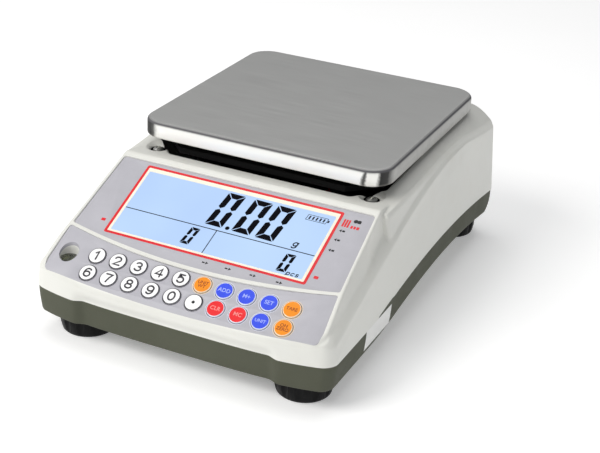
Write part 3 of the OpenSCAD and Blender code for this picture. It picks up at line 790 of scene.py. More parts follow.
def display_outline(c=0.0, n=40, corner=2.2):
    cy_, r = -1.2 + 437, 437 + c
    xr = 94 + c
    low = arc_points(cy_, r, -xr, xr, n)
    pts = [tuple(p) for p in low]
    pts += [(91 + c, 72.2 + c), (-91 - c, 72.2 + c)]
    radii = [1.6] + [0] * (len(low) - 2) + [1.6, corner, corner]
    return rounded(pts, radii, 5)


def keypad_outline(c=0.0, n=40):
    cu, ru = -1.2 + 437, 437 + 3 - c
    cl, rl = -34.6 + 800, 800 + c
    left, right = -94.3 - c, 94.3 + c
    up = arc_points(cu, ru, right, left, n)
    lowx = 95.2 + c
    low = arc_points(cl, rl, -lowx, lowx, n)
    pts = [tuple(p) for p in low] + [(96 + c, -21.0)] + [tuple(p) for p in up] + [(-96 - c, -21.0)]
    radii = [3.6] + [0] * (len(low) - 2) + [3.6, 0] + [1.4] + [0] * (len(up) - 2) + [1.4, 0]
    return rounded(pts, radii, 6)


def pocket(name, outline_of, place):
    rings = []
    for c, z in ((0.2, -2.05), (0.2, 0.45), (0.32, 0.75), (0.62, 0.98), (1.3, 1.25)):
        q = outline_of(c)
        rings.append(np.column_stack([q, np.full(len(q), z)]))
    q = outline_of(1.3)
    rings.append(np.column_stack([q, np.full(len(q), 14.0)]))
    v, f = loft(rings)
    return placed(solid(name, v, f), place)


def box_cutter(name, lo, hi, r=0.0):
    x0, y0, z0 = lo
    x1, y1, z1 = hi
    v = [(x, y, z) for x in (x0, x1) for y in (y0, y1) for z in (z0, z1)]
    f = [(0, 1, 3, 2), (4, 6, 7, 5), (0, 4, 5, 1), (2, 3, 7, 6), (0, 2, 6, 4), (1, 5, 7, 3)]
    return solid(name, v, f)


def below_parting(gap):
    y = np.concatenate([[-175.0], np.linspace(-160, 160, 161), [175.0]])
    z = part_line(np.clip(y, -160, 160)) + gap
    prof = np.vstack([np.column_stack([y, z]), [[175, -20], [-175, -20]]])
    rings = [np.column_stack([np.full(len(prof), x), prof]) for x in (-130, 130)]
    v, f = loft(rings)
    return solid("below", v, f)


def above_parting(gap):
    y = np.concatenate([[-175.0], np.linspace(-160, 160, 161), [175.0]])
    z = part_line(np.clip(y, -160, 160)) + gap
    prof = np.vstack([np.column_stack([y, z]), [[175, 160], [-175, 160]]])
    rings = [np.column_stack([np.full(len(prof), x), prof]) for x in (-130, 130)]
    v, f = loft(rings)
    return solid("above", v, f)


def turned_cutter(name, r, x, y, z0, z1, n=64, flare=0.0):
    levels = [(r, z0), (r, z1)] if not flare else [(r, z0), (r, z1 - flare), (r + flare, z1), (r + flare, z1 + 8)]
    v, f = lathe(levels, n)
    v = v + np.array([x, y, 0])
    return solid(name, v, f)


def make_housing():
    fine = 0.8
    mid = 2.0
    xs = lines((-108, -76, fine), (-76, 76, mid), (76, 108, fine))
    ys = lines((-156, -30, fine), (-30, 128, mid), (128, 156, fine))
    ws = lines((-76, -20, 1.8), (-20, 4, fine * 0.9))

    def z_of(x, y, w):
        top = np.where(y < -52, panel_top(y), 101.5 - (101.5 - 95.2) * (1 - step((y + 52) / 130)))
        return top + w * np.where(w < -20, 1.0, 1.0)

    lowest = lambda x, y, z: np.maximum(housing(x, y, z), 29.0 - z)
    o = implicit("upper_shell", lowest, xs, ys, ws, z_of)
    xi = lines((-108, 108, 2.4))
    yi = lines((-156, 156, 2.4))
    wi = lines((-78, -20, 2.4), (-20, 6, 1.6))
    hollow = lambda x, y, z: np.maximum(housing_inside(x, y, z), 26.0 - z)
    inner = implicit("hollow", hollow, xi, yi, wi, z_of)
    carve(o, inner)
    for sx_ in (-79, 79):
        carve(o, turned_cutter("cup", 10, sx_, -33, 89.5, 93.6), op="UNION")
    carve(o, below_parting(0.06), pocket("cut_d", display_outline, ON_DISPLAY), pocket("cut_k", keypad_outline, ON_KEYPAD),
          well_cutter(),
          box_cutter("cut_s", (17 - 9.7, 120, 57.5 - 6.6), (17 + 9.7, 165, 57.5 + 6.6)))
    v, f = lathe([(4.7, 120), (4.7, 165)], 40)
    sock = solid("cut_o", np.column_stack([v[:, 0] - 18, v[:, 2], v[:, 1] + 57.5]), f)
    carve(o, sock)
    carve(o, placed(box_cutter("cut_g", (-70, 8, -20), (70, 67.5, 2)), ON_DISPLAY),
          placed(box_cutter("cut_m", (-74, -31.4, -14), (80.4, -3.2, 0)), ON_KEYPAD),
          turned_cutter("cut_l", 8.4, -85, -132.7, 44, 70))
    for sx_ in (-79, 79):
        v, f = lathe([(5.3, 92.0), (5.3, 92.7), (5.6, 93.2), (6.6, 93.9), (8.6, 94.9), (9.8, 95.9), (9.8, 112)], 64)
        carve(o, solid("cut_c", v + np.array([sx_, -33, 0]), f))
        carve(o, turned_cutter("cut_p", 2.2, sx_, -33, 80, 110, 24), turned_cutter("cut_p", 2.2, sx_, 130, 80, 110, 24))
    shade(o, 36)
    return o


shell = make_housing()
dress(shell, "case", M_ivory, "ivory_plastic", "upper_housing")


# black rings on the floors of the two front screw cups, dark pieces that stand in for the deep shade there
def make_cup_shade_rings():
    vs, fs, k = [], [], 0
    for x in (-79, 79):
        v, f = lathe([(2.3, 92.01), (5.25, 92.01), (5.25, 92.7), (5.05, 92.7), (4.9, 92.4), (4.6, 92.28), (2.3, 92.26)], 56)
        f = [q for q in f if len(q) == 4] + [(6 * 56 + i, 6 * 56 + (i + 1) % 56, (i + 1) % 56, i) for i in range(56)]
        vs.append(v + np.array([x, -33, 0]))
        fs += [tuple(i + k for i in q) for q in f]
        k += len(v)
    o = solid("screw_cup_shade_rings", np.vstack(vs), fs)
    carve(o, well_trim())
    return shade(o, 40)


def well_trim():
    q = grow(WELL, 0.15)
    v, f = loft([np.column_stack([q, np.full(len(q), z)]) for z in (80.0, 112.0)])
    return solid("well_trim", v, f)


# painted shade: matt black rings make the screw cups read deep and shadowed
dress(make_cup_shade_rings(), "case", M_matt, "black_plastic")


# socket for the level, moulded with the housing
def level_pocket():
    z0 = -121.5
    rings = []
    t = np.arange(72) * 2 * math.pi / 72
    cxp, cyp = -85.0, -132.7

    def plane_z(x, y, d):
        return 63.3 + (y - z0) * TK + d / CK

    def ring(r, z=None, d=None):
        x, y = cxp + r * np.cos(t), cyp + r * np.sin(t)
        zz = np.full(72, z) if z is not None else plane_z(x, y, d)
        return np.column_stack([x, y, zz])

    rings = [ring(8.35, z=45.2), ring(8.35, d=-2.1), ring(6.9, d=-2.1), ring(6.32, d=-2.3), ring(6.3, d=-3.2), ring(6.3, z=46.9), ring(0.4, z=46.9), ]
    v, f = loft(rings, cap0=True, cap1=True)
    o = solid("level_socket", v, f)
    return shade(o, 40)


dress(level_pocket(), "case", M_ivory, "ivory_plastic")


# --------------------------------------------------------------------- base
def base_bottom(y):
    arch = 25.7 - (y - 50) ** 2 / 1040.0
    d = arch - 14.0
    return 14.0 + np.where(d > 4, d, np.where(d < -4, 0, (d + 4) ** 2 / 16))


def base_plan(x, y, z, i):
    ax = np.abs(x)
    t = np.clip((33 - z) / 19, 0, 1.2)
    draw = 1.7 * t ** 1.7 + i
    a = ax - (105 - draw)
    b = front_y(ax, np.minimum(z, 33)) + 0.8 * draw - y
    c = y - (151.6 - i)
    return rmax(a, b, 7), c


def base_shape(x, y, z):
    p, c = base_plan(x, y, z, 0.0)
    f = rmax(p, rmax(c, np.minimum(base_bottom(y), 16.0) - z, 13.5), 2.4)
    f = rmax(f, base_bottom(y) - z, 2.4)
    q = rmax(*base_plan(x, y, np.minimum(z, 30), 2.6), 2)
    under = np.maximum(q, z - 27.0)
    above = np.maximum(q, 30.0 - z)
    return np.maximum(np.maximum(np.maximum(f, -under), -above), z - 46.5)


def make_base():
    h = 1.0
    xs = lines((-108, -98, h * 0.7), (-98, 98, 2.4), (98, 108, h * 0.7))
    ys = lines((-156, -138, h * 0.7), (-138, 130, 2.2), (130, 156, h * 0.7))
    zs = lines((9.5, 26.2, h * 0.75), (26.2, 31.0, 0.8), (31.0, 48, 1.4))
    o = implicit("base_shell", base_shape, xs, ys, zs, None, rounds=4)
    carve(o, above_parting(-0.06))
    for x in (-78, 78):
        for y in (-122, 141):
            v, f = lathe([(7.2, 41.5), (8.2, 41.5), (8.2, 21.0), (7.6, 20.2), (5.2, 20.2), (4.7, 20.8), (4.7, 25.9), (6.6, 25.9)], 48)
            n = 48
            f = [q for q in f if len(q) == 4]
            last = 7 * n
            f += [(last + i, last + (i + 1) % n, (i + 1) % n, i) for i in range(n)]
            boss = solid("boss", v + np.array([x, y, 0]), f)
            carve(o, turned_cutter("hole", 7.8, x, y, 22.5, 40, 48))
            carve(o, boss, op="UNION")
    for x, y0, y1 in ((60, -11, 103),):
        for y in (y0, y1):
            carve(o, turned_cutter("hole", 1.5, x, y, 20, 40, 20))
    # bed of the battery
    carve(o, box_cutter("bed", (24.4, -4.6, 20), (95.6, 96.6, 40)))
    for y in (90, 107):
        carve(o, turned_cutter("hole", 3.1, 0, y, 20, 40, 24))
    carve(o, turned_cutter("hole", 3.0, 0, -1.5, 20, 40, 24))
    shade(o, 36)
    return o


base = make_base()
dress(base, "case", M_olive, "olive_plastic", "base_tray")

# --------------------------------------------------------------------- panels
def plate(name, outline, t, place, edge=0.22):
    levels = [(0, -t), (0, -edge), (-edge * 0.3, -edge * 0.3), (-edge, 0)]
    rings = []
    for off, z in levels:
        q = grow(outline, off)
        rings.append(np.column_stack([q, np.full(len(q), z)]))
    v, f = loft(rings)
    return placed(solid(name, v, f), place)


def make_display_panel():
    o = plate("display_plate", display_outline(0.17), 2.0, Matrix.Identity(4))
    rings = []
    for off, z in ((0, -5), (0, -0.25), (0.12, -0.08), (0.3, 0.02), (0.3, 3)):
        p = rounded([(-68.2 - off, 9.8 - off), (68.2 + off, 9.8 - off), (68.2 + off, 65.2 + off), (-68.2 - off, 65.2 + off)], 0.6 + off, 4)
        rings.append(np.column_stack([p, np.full(len(p), z)]))
    v, f = loft(rings)
    carve(o, solid("opening", v, f))
    placed(o, ON_DISPLAY)
    return shade(o, 30)


dress(make_display_panel(), "case", M_panel, "panel_film", "display_panel")

KEY_X0, PITCH, ROW1, ROW_P = 3.2 - 4.5 * 15.16, 15.16, -10.9, 13.2


def key_at(row, col):
    return KEY_X0 + col * PITCH, ROW1 - row * ROW_P


def make_keypad_panel():
    o = plate("keypad_plate", keypad_outline(0.17), 2.0, Matrix.Identity(4))
    for r in (0, 1):
        for c in range(10):
            x, y = key_at(r, c)
            v, f = lathe([(6.07, -4), (6.07, -0.25), (6.15, -0.07), (6.32, 0.02), (6.32, 3)], 56)
            carve(o, solid("hole", v + np.array([x, y, 0]), f))
    placed(o, ON_KEYPAD)
    carve(o, turned_cutter("cut_l", 6.4, -85, -132.7, 40, 80))
    return shade(o, 30)


dress(make_keypad_panel(), "case", M_panel, "panel_film", "keypad_panel")


def film(name, outline, holes, place, z0, z1, mat, slot, body="case"):
    """A thin printed shape with openings, raised by its ink."""
    v, f = loft([np.column_stack([outline, np.full(len(outline), z)]) for z in (z0, z1)])
    o = solid(name, v, f)
    for k in holes:
        v, f = loft([np.column_stack([k, np.full(len(k), z)]) for z in (z0 - 1, z1 + 1)])
        carve(o, solid("hole", v, f))
    placed(o, place)
    shade(o, 30)
    return dress(o, body, mat, slot)


def rect(x0, y0, x1, y1, r=0.0, steps=4):
    p = [(x0, y0), (x1, y0), (x1, y1), (x0, y1)]
    return rounded(p, r, steps) if r else np.array(p, float)


V0 = 69.64  # top edge of the red line, up the display slope
film("red_frame", rect(-71.4, V0 - 61.6, 71.4, V0, 1.4), [rect(-69.55, V0 - 59.85, 69.55, V0 - 1.85, 0.5)],
     ON_DISPLAY, -0.05, 0.07, M_ink_red, "panel_film")
film("cream_border", rect(-69.5, V0 - 59.8, 69.5, V0 - 1.9, 0.5), [rect(-67.7, 11.3, 67.7, 64.7, 0.7)],
     ON_DISPLAY, -0.05, 0.05, M_ink_cream, "panel_film")


# --------------------------------------------------------------------- display
for n_, m_ in (("display_window", M_lcd), ("lcd_glass", M_window), ("lcd_backlight", M_guide)):
    o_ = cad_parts[n_]
    o_.data.materials.clear()
    o_.data.materials.append(m_)

SEG = {"a": 0, "b": 1, "c": 2, "d": 3, "e": 4, "f": 5}


def seven(w, h, t, gap, parts="abcdef"):
    """The bars of a figure in a box w by h, as polygons."""
    g = gap / 2
    m_ = h / 2
    bars = {
        "a": [(g * 1.6, h), (w - g * 1.6, h), (w - t - g, h - t), (t + g, h - t)],
        "d": [(g * 1.6, 0), (t + g, t), (w - t - g, t), (w - g * 1.6, 0)],
        "f": [(0, h - g * 1.6), (t, h - t - g), (t, m_ + t * 0.45 + g), (t * 0.5, m_ + g), (0, m_ + t * 0.35 + g)],
        "e": [(0, g * 1.6), (0, m_ - t * 0.35 - g), (t * 0.5, m_ - g), (t, m_ - t * 0.45 - g), (t, t + g)],
        "b": [(w, h - g * 1.6), (w, m_ + t * 0.35 + g), (w - t * 0.5, m_ + g), (w - t, m_ + t * 0.45 + g), (w - t, h - t - g)],
        "c": [(w, g * 1.6), (w - t, t + g), (w - t, m_ - t * 0.45 - g), (w - t * 0.5, m_ - g), (w, m_ - t * 0.35 - g)],
        "g": [(t * 0.6 + g, m_), (t + g, m_ + t / 2), (w - t - g, m_ + t / 2), (w - t * 0.6 - g, m_), (w - t - g, m_ - t / 2), (t + g, m_ - t / 2)],
    }
    return [bars[k] for k in parts]


def ccw(p):
    p = np.asarray(p, float)
    a = np.sum(p[:, 0] * np.roll(p[:, 1], -1) - np.roll(p[:, 0], -1) * p[:, 1])
    return p if a > 0 else p[::-1]


def inked(name, polys, place, z0, z1, mat, slot, body="case"):
    vs, fs, base_i = [], [], 0
    for p in polys:
        p = ccw(p)
        v, f = loft([np.column_stack([p, np.full(len(p), z)]) for z in (z0, z1)])
        vs.append(v)
        fs += [tuple(i + base_i for i in q) for q in f]
        base_i += len(v)
    o = solid(name, np.vstack(vs), fs)
    placed(o, place)
    return dress(o, body, mat, slot)


def lcd_point(x, s):
    return (x, V0 - s)


def figure(tl, tr, bl, thick, gap):
    """Bars of a slanted figure given three corners (x, distance down the slope)."""
    tl, tr, bl = (np.array(lcd_point(*p)) for p in (tl, tr, bl))
    u, d = tr - tl, tl - bl
    w, h = np.linalg.norm(u), abs(d[1])
    out = []
    for p in seven(w, h, thick, gap):
        p = np.array(p)
        out.append(bl + p[:, :1] / w * u + p[:, 1:] / h * d)
    return out


polys = figure((-7.4, 6.3), (5.0, 6.6), (-11.2, 35.3), 4.15, 0.6)
polys += figure((11.6, 6.5), (24.6, 6.9), (8.0, 35.6), 4.15, 0.6)
polys += figure((28.5, 6.7), (41.5, 7.2), (24.6, 35.8), 4.15, 0.6)
polys += [ring_xy(1.5, 20, 5.0, V0 - 34.6)]
polys += figure((-17.2, 40.5), (-10.9, 40.7), (-19.3, 54.6), 2.15, 0.34)
polys += figure((50.4, 42.0), (57.0, 41.8), (49.0, 56.5), 2.2, 0.34)
LCD_Z = (-0.17, -0.10)
inked("lcd_figures", polys, ON_DISPLAY, *LCD_Z, M_lcd_black, "lcd")

# thin rules, battery mark
rules = [[lcd_point(-67.6, 37.9), lcd_point(67.6, 38.3), lcd_point(67.6, 38.95), lcd_point(-67.6, 38.55)],
         [lcd_point(-0.8, 38.6), lcd_point(-0.2, 38.6), lcd_point(-0.9, 59.4), lcd_point(-1.5, 59.4)]]
inked("lcd_rules", rules, ON_DISPLAY, *LCD_Z, M_lcd_grey, "lcd")
b0, b1, t0, t1 = 49.6, 63.6, 7.9, 12.6
sl = 0.13
skew = lambda x, s: lcd_point(x - (s - 10) * sl, s)
battery = [[skew(b0, t0), skew(b1, t0), skew(b1, t0 + 0.35), skew(b0, t0 + 0.35)],
           [skew(b0, t1 - 0.35), skew(b1, t1 - 0.35), skew(b1, t1), skew(b0, t1)],
           [skew(b0, t0 + 0.4), skew(b0 + 0.4, t0 + 0.4), skew(b0 + 0.4, t1 - 0.4), skew(b0, t1 - 0.4)],
           [skew(b1 - 0.3, t0 + 0.4), skew(b1, t0 + 0.4), skew(b1, t1 - 0.4), skew(b1 - 0.3, t1 - 0.4)],
           [skew(b1 + 0.25, t0 + 1.1), skew(b1 + 1.5, t0 + 1.7), skew(b1 + 1.5, t1 - 1.7), skew(b1 + 0.25, t1 - 1.1)]]
for i in range(5):
    xx = b0 + 1.5 + i * 2.45
    battery.append([skew(xx, t0 + 1.0), skew(xx + 1.15, t0 + 1.0), skew(xx + 1.15, t1 - 1.0), skew(xx, t1 - 1.0)])
inked("lcd_battery_mark", battery, ON_DISPLAY, *LCD_Z, M_lcd_grey, "lcd")


# --------------------------------------------------------------------- drawn characters
def arc(cx_, cy_, rx, ry, a0, a1, n=18):
    t = np.radians(np.linspace(a0, a1, n))
    return [(cx_ + rx * math.cos(q), cy_ + ry * math.sin(q)) for q in t]


STROKES = {
    "0": [arc(0, 0, 0.92, 1.25, 80, 280), arc(0, 0, 0.92, 1.25, 260, 460)],
    "1": [[(-0.62, 0.72), (0.12, 1.25), (0.12, -1.25)]],
    "2": [arc(0, 0.52, 0.92, 0.73, 165, -32) + [(-0.9, -1.2), (1.0, -1.2)]],
    "3": [arc(-0.02, 0.62, 0.84, 0.62, 155, -88), arc(0, -0.6, 0.94, 0.65, 88, -155)],
    "4": [[(0.48, -1.25), (0.48, 1.22), (-1.0, -0.55), (1.08, -0.55)]],
    "5": [[(0.84, 1.2), (-0.62, 1.2), (-0.78, 0.02)] + arc(0, -0.42, 0.95, 0.82, 128, -150)],
    "6": [arc(0, -0.46, 0.92, 0.78, 80, 280), arc(0, -0.46, 0.92, 0.78, 260, 460), [(-0.9, -0.4)] + arc(0.12, 0.1, 1.02, 1.14, 178, 48)],
    "7": [[(-0.95, 1.2), (0.98, 1.2), (0.25, 0.1), (-0.2, -1.25)]],
    "8": [arc(0, 0.62, 0.78, 0.62, 80, 280), arc(0, 0.62, 0.78, 0.62, 260, 460), arc(0, -0.6, 0.94, 0.66, 80, 280), arc(0, -0.6, 0.94, 0.66, 260, 460)],
    "g": [arc(0, 0.35, 0.75, 0.72, 80, 280), arc(0, 0.35, 0.75, 0.72, 260, 460), [(0.78, 1.05), (0.78, -0.7)] + arc(0.02, -0.72, 0.76, 0.55, 0, -150)],
    "p": [arc(0, 0.3, 0.75, 0.75, 80, 280), arc(0, 0.3, 0.75, 0.75, 260, 460), [(-0.78, 1.05), (-0.78, -1.25)]],
    "c": [arc(0, 0.3, 0.78, 0.75, 45, 315)],
    "s": [arc(0.0, 0.66, 0.6, 0.39, 30, 270, 12) + arc(0.0, -0.08, 0.62, 0.37, 90, -150, 12)],
}
STROKES["9"] = [[(-x, -y) for x, y in q] for q in STROKES["6"]]


def ribbon(path, width):
    """Outline of a stroke of even width with round ends."""
    q = np.asarray(path, float)
    keep = [0] + [i for i in range(1, len(q)) if np.linalg.norm(q[i] - q[i - 1]) > 1e-6]
    q = q[keep]
    d = np.diff(q, axis=0)
    d /= np.linalg.norm(d, axis=1)[:, None]
    n = np.column_stack([-d[:, 1], d[:, 0]])
    h = width / 2
    left, right = [], []
    for i in range(len(q)):
        a, b = n[max(i - 1, 0)], n[min(i, len(n) - 1)]
        m_ = a + b
        m_ /= np.linalg.norm(m_) + 1e-12
        k = min(1 / max(float(np.dot(m_, b)), 0.35), 1.9)
        left.append(q[i] + m_ * h * k)
        right.append(q[i] - m_ * h * k)
    a0 = math.atan2(*n[0][::-1])
    a1 = math.atan2(*n[-1][::-1])
    start = [q[0] + h * np.array([math.cos(a0 + math.pi * (1 + k / 6)), math.sin(a0 + math.pi * (1 + k / 6))]) * np.array([1, 1]) for k in range(1, 6)]
    start = [q[0] + h * np.array([math.cos(a0 + math.pi - math.pi * k / 6), math.sin(a0 + math.pi - math.pi * k / 6)]) for k in range(1, 6)]
    end = [q[-1] + h * np.array([math.cos(a1 - math.pi * k / 6), math.sin(a1 - math.pi * k / 6)]) for k in range(1, 6)]
    return np.array(left + end + right[::-1] + start)


def drawn(char, cx_, cy_, w, h, width, slant=0.0):
    out = []
    for path in STROKES[char]:
        q = np.asarray(path, float) * np.array([w / 2, h / 2.5])
        q[:, 0] += q[:, 1] * slant
        out.append(ribbon(q + np.array([cx_, cy_]), width))
    return out


unit_marks = drawn("g", 52.2, V0 - 34.3, 3.6, 4.9, 0.85, 0.22)
for ch, xx in (("p", 57.6), ("c", 60.7), ("s", 63.6)):
    unit_marks += drawn(ch, xx, V0 - 56.9, 2.6, 3.4, 0.6, 0.22)
inked("lcd_units", unit_marks, ON_DISPLAY, *LCD_Z, M_lcd_black, "lcd")


def words(name, text, size, place, x, y, z, mat, slot, body, thick=0.06, bold=0.0, slant=0.0, align="CENTER"):
    """A short run of characters as a thin mesh on a panel."""
    cu = bpy.data.curves.new(name, "FONT")
    cu.body = text
    cu.size = size
    cu.align_x = align
    cu.align_y = "CENTER"
    cu.offset = bold
    cu.shear = slant
    cu.extrude = thick / 2
    cu.space_line = 0.82
    cu.resolution_u = 4
    tmp = bpy.data.objects.new(name + "_t", cu)
    scene.collection.objects.link(tmp)
    dg = bpy.context.evaluated_depsgraph_get()
    dg.update()
    me = bpy.data.meshes.new_from_object(tmp.evaluated_get(dg))
    bpy.data.objects.remove(tmp)
    bpy.data.curves.remove(cu)
    o = bpy.data.objects.new(name, me)
    scene.collection.objects.link(o)
    me.transform(place @ Matrix.Translation((x * MM, y * MM, z * MM)) @ Matrix.Scale(MM, 4))
    bm = bmesh.new()
    bm.from_mesh(me)
    bmesh.ops.remove_doubles(bm, verts=bm.verts, dist=1e-7)
    bm.to_mesh(me)
    bm.free()
    me.update()
    return dress(o, body, mat, slot)


inked("lcd_pointer", [[lcd_point(52.4, 59.3), lcd_point(54.2, 59.3), lcd_point(53.3, 58.1)]], ON_DISPLAY, *LCD_Z, M_lcd_black, "lcd")

# small indicator marks printed on the panel round the window
black_marks, red_marks = [], []
for x in (4.8, 20.8, 37.9, 55.8):
    y = V0 - 64.9
    black_marks += [[(x - 2.3, y - 0.5), (x - 0.5, y - 0.5), (x - 0.5, y + 0.5), (x - 2.3, y + 0.5)],
                    [(x + 0.2, y - 1.1), (x + 2.0, y), (x + 0.2, y + 1.1)]]
for x, s_ in ((75.6, 14.7), (75.5, 22.5), (75.5, 31.4)):
    y = V0 - s_
    black_marks += [[(x - 1.9, y), (x - 0.3, y - 1.2), (x - 0.3, y + 1.2)],
                    [(x + 0.2, y - 0.7), (x + 2.0, y - 0.7), (x + 2.0, y + 0.7), (x + 0.2, y + 0.7)]]
black_marks += [ccw(ring_xy(1.45, 18, 81.0, V0 - 4.9)), rect(82.2, V0 - 6.2, 84.6, V0 - 3.6, 0.6)]
for i in range(3):
    red_marks.append(rect(73.4 + i * 1.7, V0 - 11.2, 74.6 + i * 1.7, V0 - 4.9, 0.25))
for x0, x1 in ((79.4, 80.9), (81.4, 82.9), (83.4, 85.2)):
    red_marks.append(rect(x0, V0 - 11.2, x1, V0 - 8.9, 0.35))
red_marks += [rect(74.0, V0 - 55.3, 77.0, V0 - 53.1, 0.4), rect(-78.0, V0 - 53.5, -75.0, V0 - 51.3, 0.4)]
inked("panel_marks_black", black_marks, ON_DISPLAY, -0.04, 0.05, M_ink_black, "panel_film")
inked("panel_marks_red", red_marks, ON_DISPLAY, -0.04, 0.05, M_ink_red, "panel_film")

# --------------------------------------------------------------------- keys
KEYS = [["key_1", "key_2", "key_3", "key_4", "key_5", "key_orange_1", "key_blue_1", "key_blue_2", "key_blue_3", "key_orange_2"],
        ["key_6", "key_7", "key_8", "key_9", "key_0", "key_point", "key_red_1", "key_red_2", "key_blue_4", "key_orange_3"]]
LOOK = {"orange": (M_orange_key, "key_orange", M_ink_brown), "blue": (M_blue_key, "key_blue", M_ink_light_blue),
        "red": (M_red_key, "key_red", M_ink_rose)}
LEGEND = {"key_orange_1": "UNIT\nWT", "key_blue_1": "ADD", "key_blue_2": "M+", "key_blue_3": "SET", "key_orange_2": "TARE",
          "key_red_1": "CLR", "key_red_2": "MC", "key_blue_4": "UNIT", "key_orange_3": "ON\nZERO"}
KEY_H = 0.8
CAP = [(4.2, -4.3), (6.28, -4.3), (6.3, -4.1), (6.3, -2.45), (6.15, -2.3), (5.72, -2.3), (5.72, KEY_H - 0.45), (5.67, KEY_H - 0.27),
       (5.55, KEY_H - 0.13), (5.36, KEY_H - 0.06), (5.22, KEY_H - 0.035), (4.6, KEY_H), (3.2, KEY_H + 0.03), (1.6, KEY_H + 0.045), (0.3, KEY_H + 0.05)]


def make_key(name, row, col):
    x, y = key_at(row, col)
    v, f = lathe([(4.2, -1.8)] + CAP, 56)
    n = 56
    f = [q for q in f if len(q) == 4] + [tuple(range(len(CAP) * n, (len(CAP) + 1) * n))] + [tuple(range(n))[::-1]]
    o = solid(name + "_cap", v + np.array([x, y, 0]), f)
    placed(o, ON_KEYPAD)
    shade(o, 42)
    look = next((LOOK[k] for k in LOOK if k in name), (M_white_key, "key_white", M_ink_dark))
    pale = look[0] is not M_white_key
    rim_mat = M_ink_dark if not pale else (M_ink_peach if "orange" in name else M_ink_pale)
    dress(o, name, look[0], look[1], name)
    o.data.materials.append(rim_mat)
    o.data.materials.append(rim_mat if pale else M_panel)
    inv = ON_KEYPAD.inverted()
    for poly in o.data.polygons:
        c = inv @ poly.center / MM
        rad = math.hypot(c.x - x, c.y - y)
        if rad > 5.25 and c.z > KEY_H - 0.4:
            poly.material_index = 1
        elif rad > 5.25 and c.z > -1.9:
            poly.material_index = 2
    # printed ring on the panel round a coloured key
    if pale:
        outer, inner = ring_xy(6.62, 56, x, y), ring_xy(6.34, 56, x, y)
        rings = [np.column_stack([inner, np.full(56, 0.0)]), np.column_stack([inner, np.full(56, 0.05)]),
                 np.column_stack([outer, np.full(56, 0.05)]), np.column_stack([outer, np.full(56, 0.0)])]
        v, f = loft(rings, False, False)
        f += [(3 * 56 + i, 3 * 56 + (i + 1) % 56, (i + 1) % 56, i) for i in range(56)]
        ring_o = placed(solid(name + "_ring", v, f), ON_KEYPAD)
        dress(ring_o, "case", rim_mat, "panel_film")
    if name == "key_point":
        inked(name + "_mark", [ring_xy(1.05, 24, x, y)], ON_KEYPAD, KEY_H, KEY_H + 0.09, M_ink_black, look[1], name)
    elif not pale:
        inked(name + "_mark", drawn(name[-1], x, y, 4.5, 5.7, 1.12), ON_KEYPAD, KEY_H - 0.05, KEY_H + 0.08, M_ink_dark, look[1], name)
    else:
        words(name + "_mark", LEGEND[name], 3.1 if "\n" in LEGEND[name] or len(LEGEND[name]) > 3 else 3.8, ON_KEYPAD, x, y, KEY_H + 0.04,
              look[2], look[1], name, 0.09, 0.05)
    return o


for r_ in (0, 1):
    for c_, n_ in enumerate(KEYS[r_]):
        make_key(n_, r_, c_)


# --------------------------------------------------------------------- weighing pan
def make_pan():
    rings = []
    top, low = 115.7, 104.6
    prof = []
    R = 2.6
    for k in range(9):
        a = math.radians(90 * k / 8)
        prof.append((-R + R * math.sin(a), top - R + R * math.cos(a)))
    prof += [(0.0, top - 5), (0.0, low + 0.5), (-0.12, low + 0.14), (-0.4, low), (-0.68, low + 0.14), (-0.8, low + 0.5), (-0.8, top - 5)]
    R2 = 1.8
    for k in range(5):
        a = math.radians(90 * (4 - k) / 4)
        prof.append((-0.8 - R2 + R2 * math.sin(a), top - 0.8 - R2 + R2 * math.cos(a)))

    def ring(off, z):
        w = 90 + off
        r = max(17 + off, 0.6)
        p = rounded([(-w, -w), (w, -w), (w, w), (-w, w)], r, 14)
        return np.column_stack([p[:, 0], p[:, 1] + 48.5, np.full(len(p), z)])

    inner = [ring(-60, top - 0.02), ring(-24, top), ring(-6, top)]
    under = [ring(-6, top - 0.8), ring(-24, top - 0.8), ring(-60, top - 0.82)]
    rings = inner + [ring(o, z) for o, z in prof] + under
    v, f = loft(rings)
    o = solid("pan_sheet", v, f)
    o.data.materials.append(M_pan_top)
    o.data.materials.append(M_pan_rim_painted_light)
    for p in o.data.polygons:
        c = p.center / MM
        edge = max(abs(c.x), abs(c.y - 48.5))
        p.material_index = 1 if (abs(p.normal.z) < 0.985 and c.z < top - 0.01) else 0
    shade(o, 50)
    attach(o, "pan")
    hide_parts("pan")
    return o


make_pan()


# --------------------------------------------------------------------- feet
def make_wheel(tag, x, y):
    prof = [(0.4, 0.0), (9.0, 0.0), (16.3, 0.02), (17.0, 0.2), (17.5, 0.7), (18.0, 2.2), (18.5, 4.6), (18.85, 6.3), (19.0, 7.4), (19.0, 11.9),
            (18.85, 12.7), (18.3, 13.25), (17.4, 13.5), (14.0, 13.75), (9.4, 14.05), (9.05, 14.4), (9.0, 15.2), (8.7, 15.55), (8.3, 15.6), (4.6, 15.6),
            (4.1, 15.3), (4.06, 14.8), (4.06, 5.0), (0.4, 4.95)]

    def wave(t, r, z):
        if r < 14.5:
            return np.full(len(t), float(r))
        a = (t - math.radians(15)) % math.radians(30)
        a = np.minimum(a, math.radians(30) - a)
        d = 19 + 2.7
        hit = np.abs(d * np.sin(a)) < 4
        depth = np.where(hit, d * np.cos(a) - np.sqrt(np.maximum(16 - (d * np.sin(a)) ** 2, 0)), 99)
        # soft edges between the grips
        cut = np.minimum(r, depth)
        return np.where(cut < r, cut, r - 0.12 * np.exp(-((a - math.radians(10.0)) / math.radians(1.0)) ** 2))

    v, f = lathe(prof, 288, wave)
    o = solid("wheel_" + tag + "_knob", v + np.array([x, y, 0]), f)
    shade(o, 38)
    return dress(o, "wheel_" + tag, M_knob, "black_plastic", "foot_wheel_" + tag)


FEET = {"fl": (-78, -122), "fr": (78, -122), "rl": (-78, 141), "rr": (78, 141)}
for tag, (x, y) in FEET.items():
    make_wheel(tag, x, y)


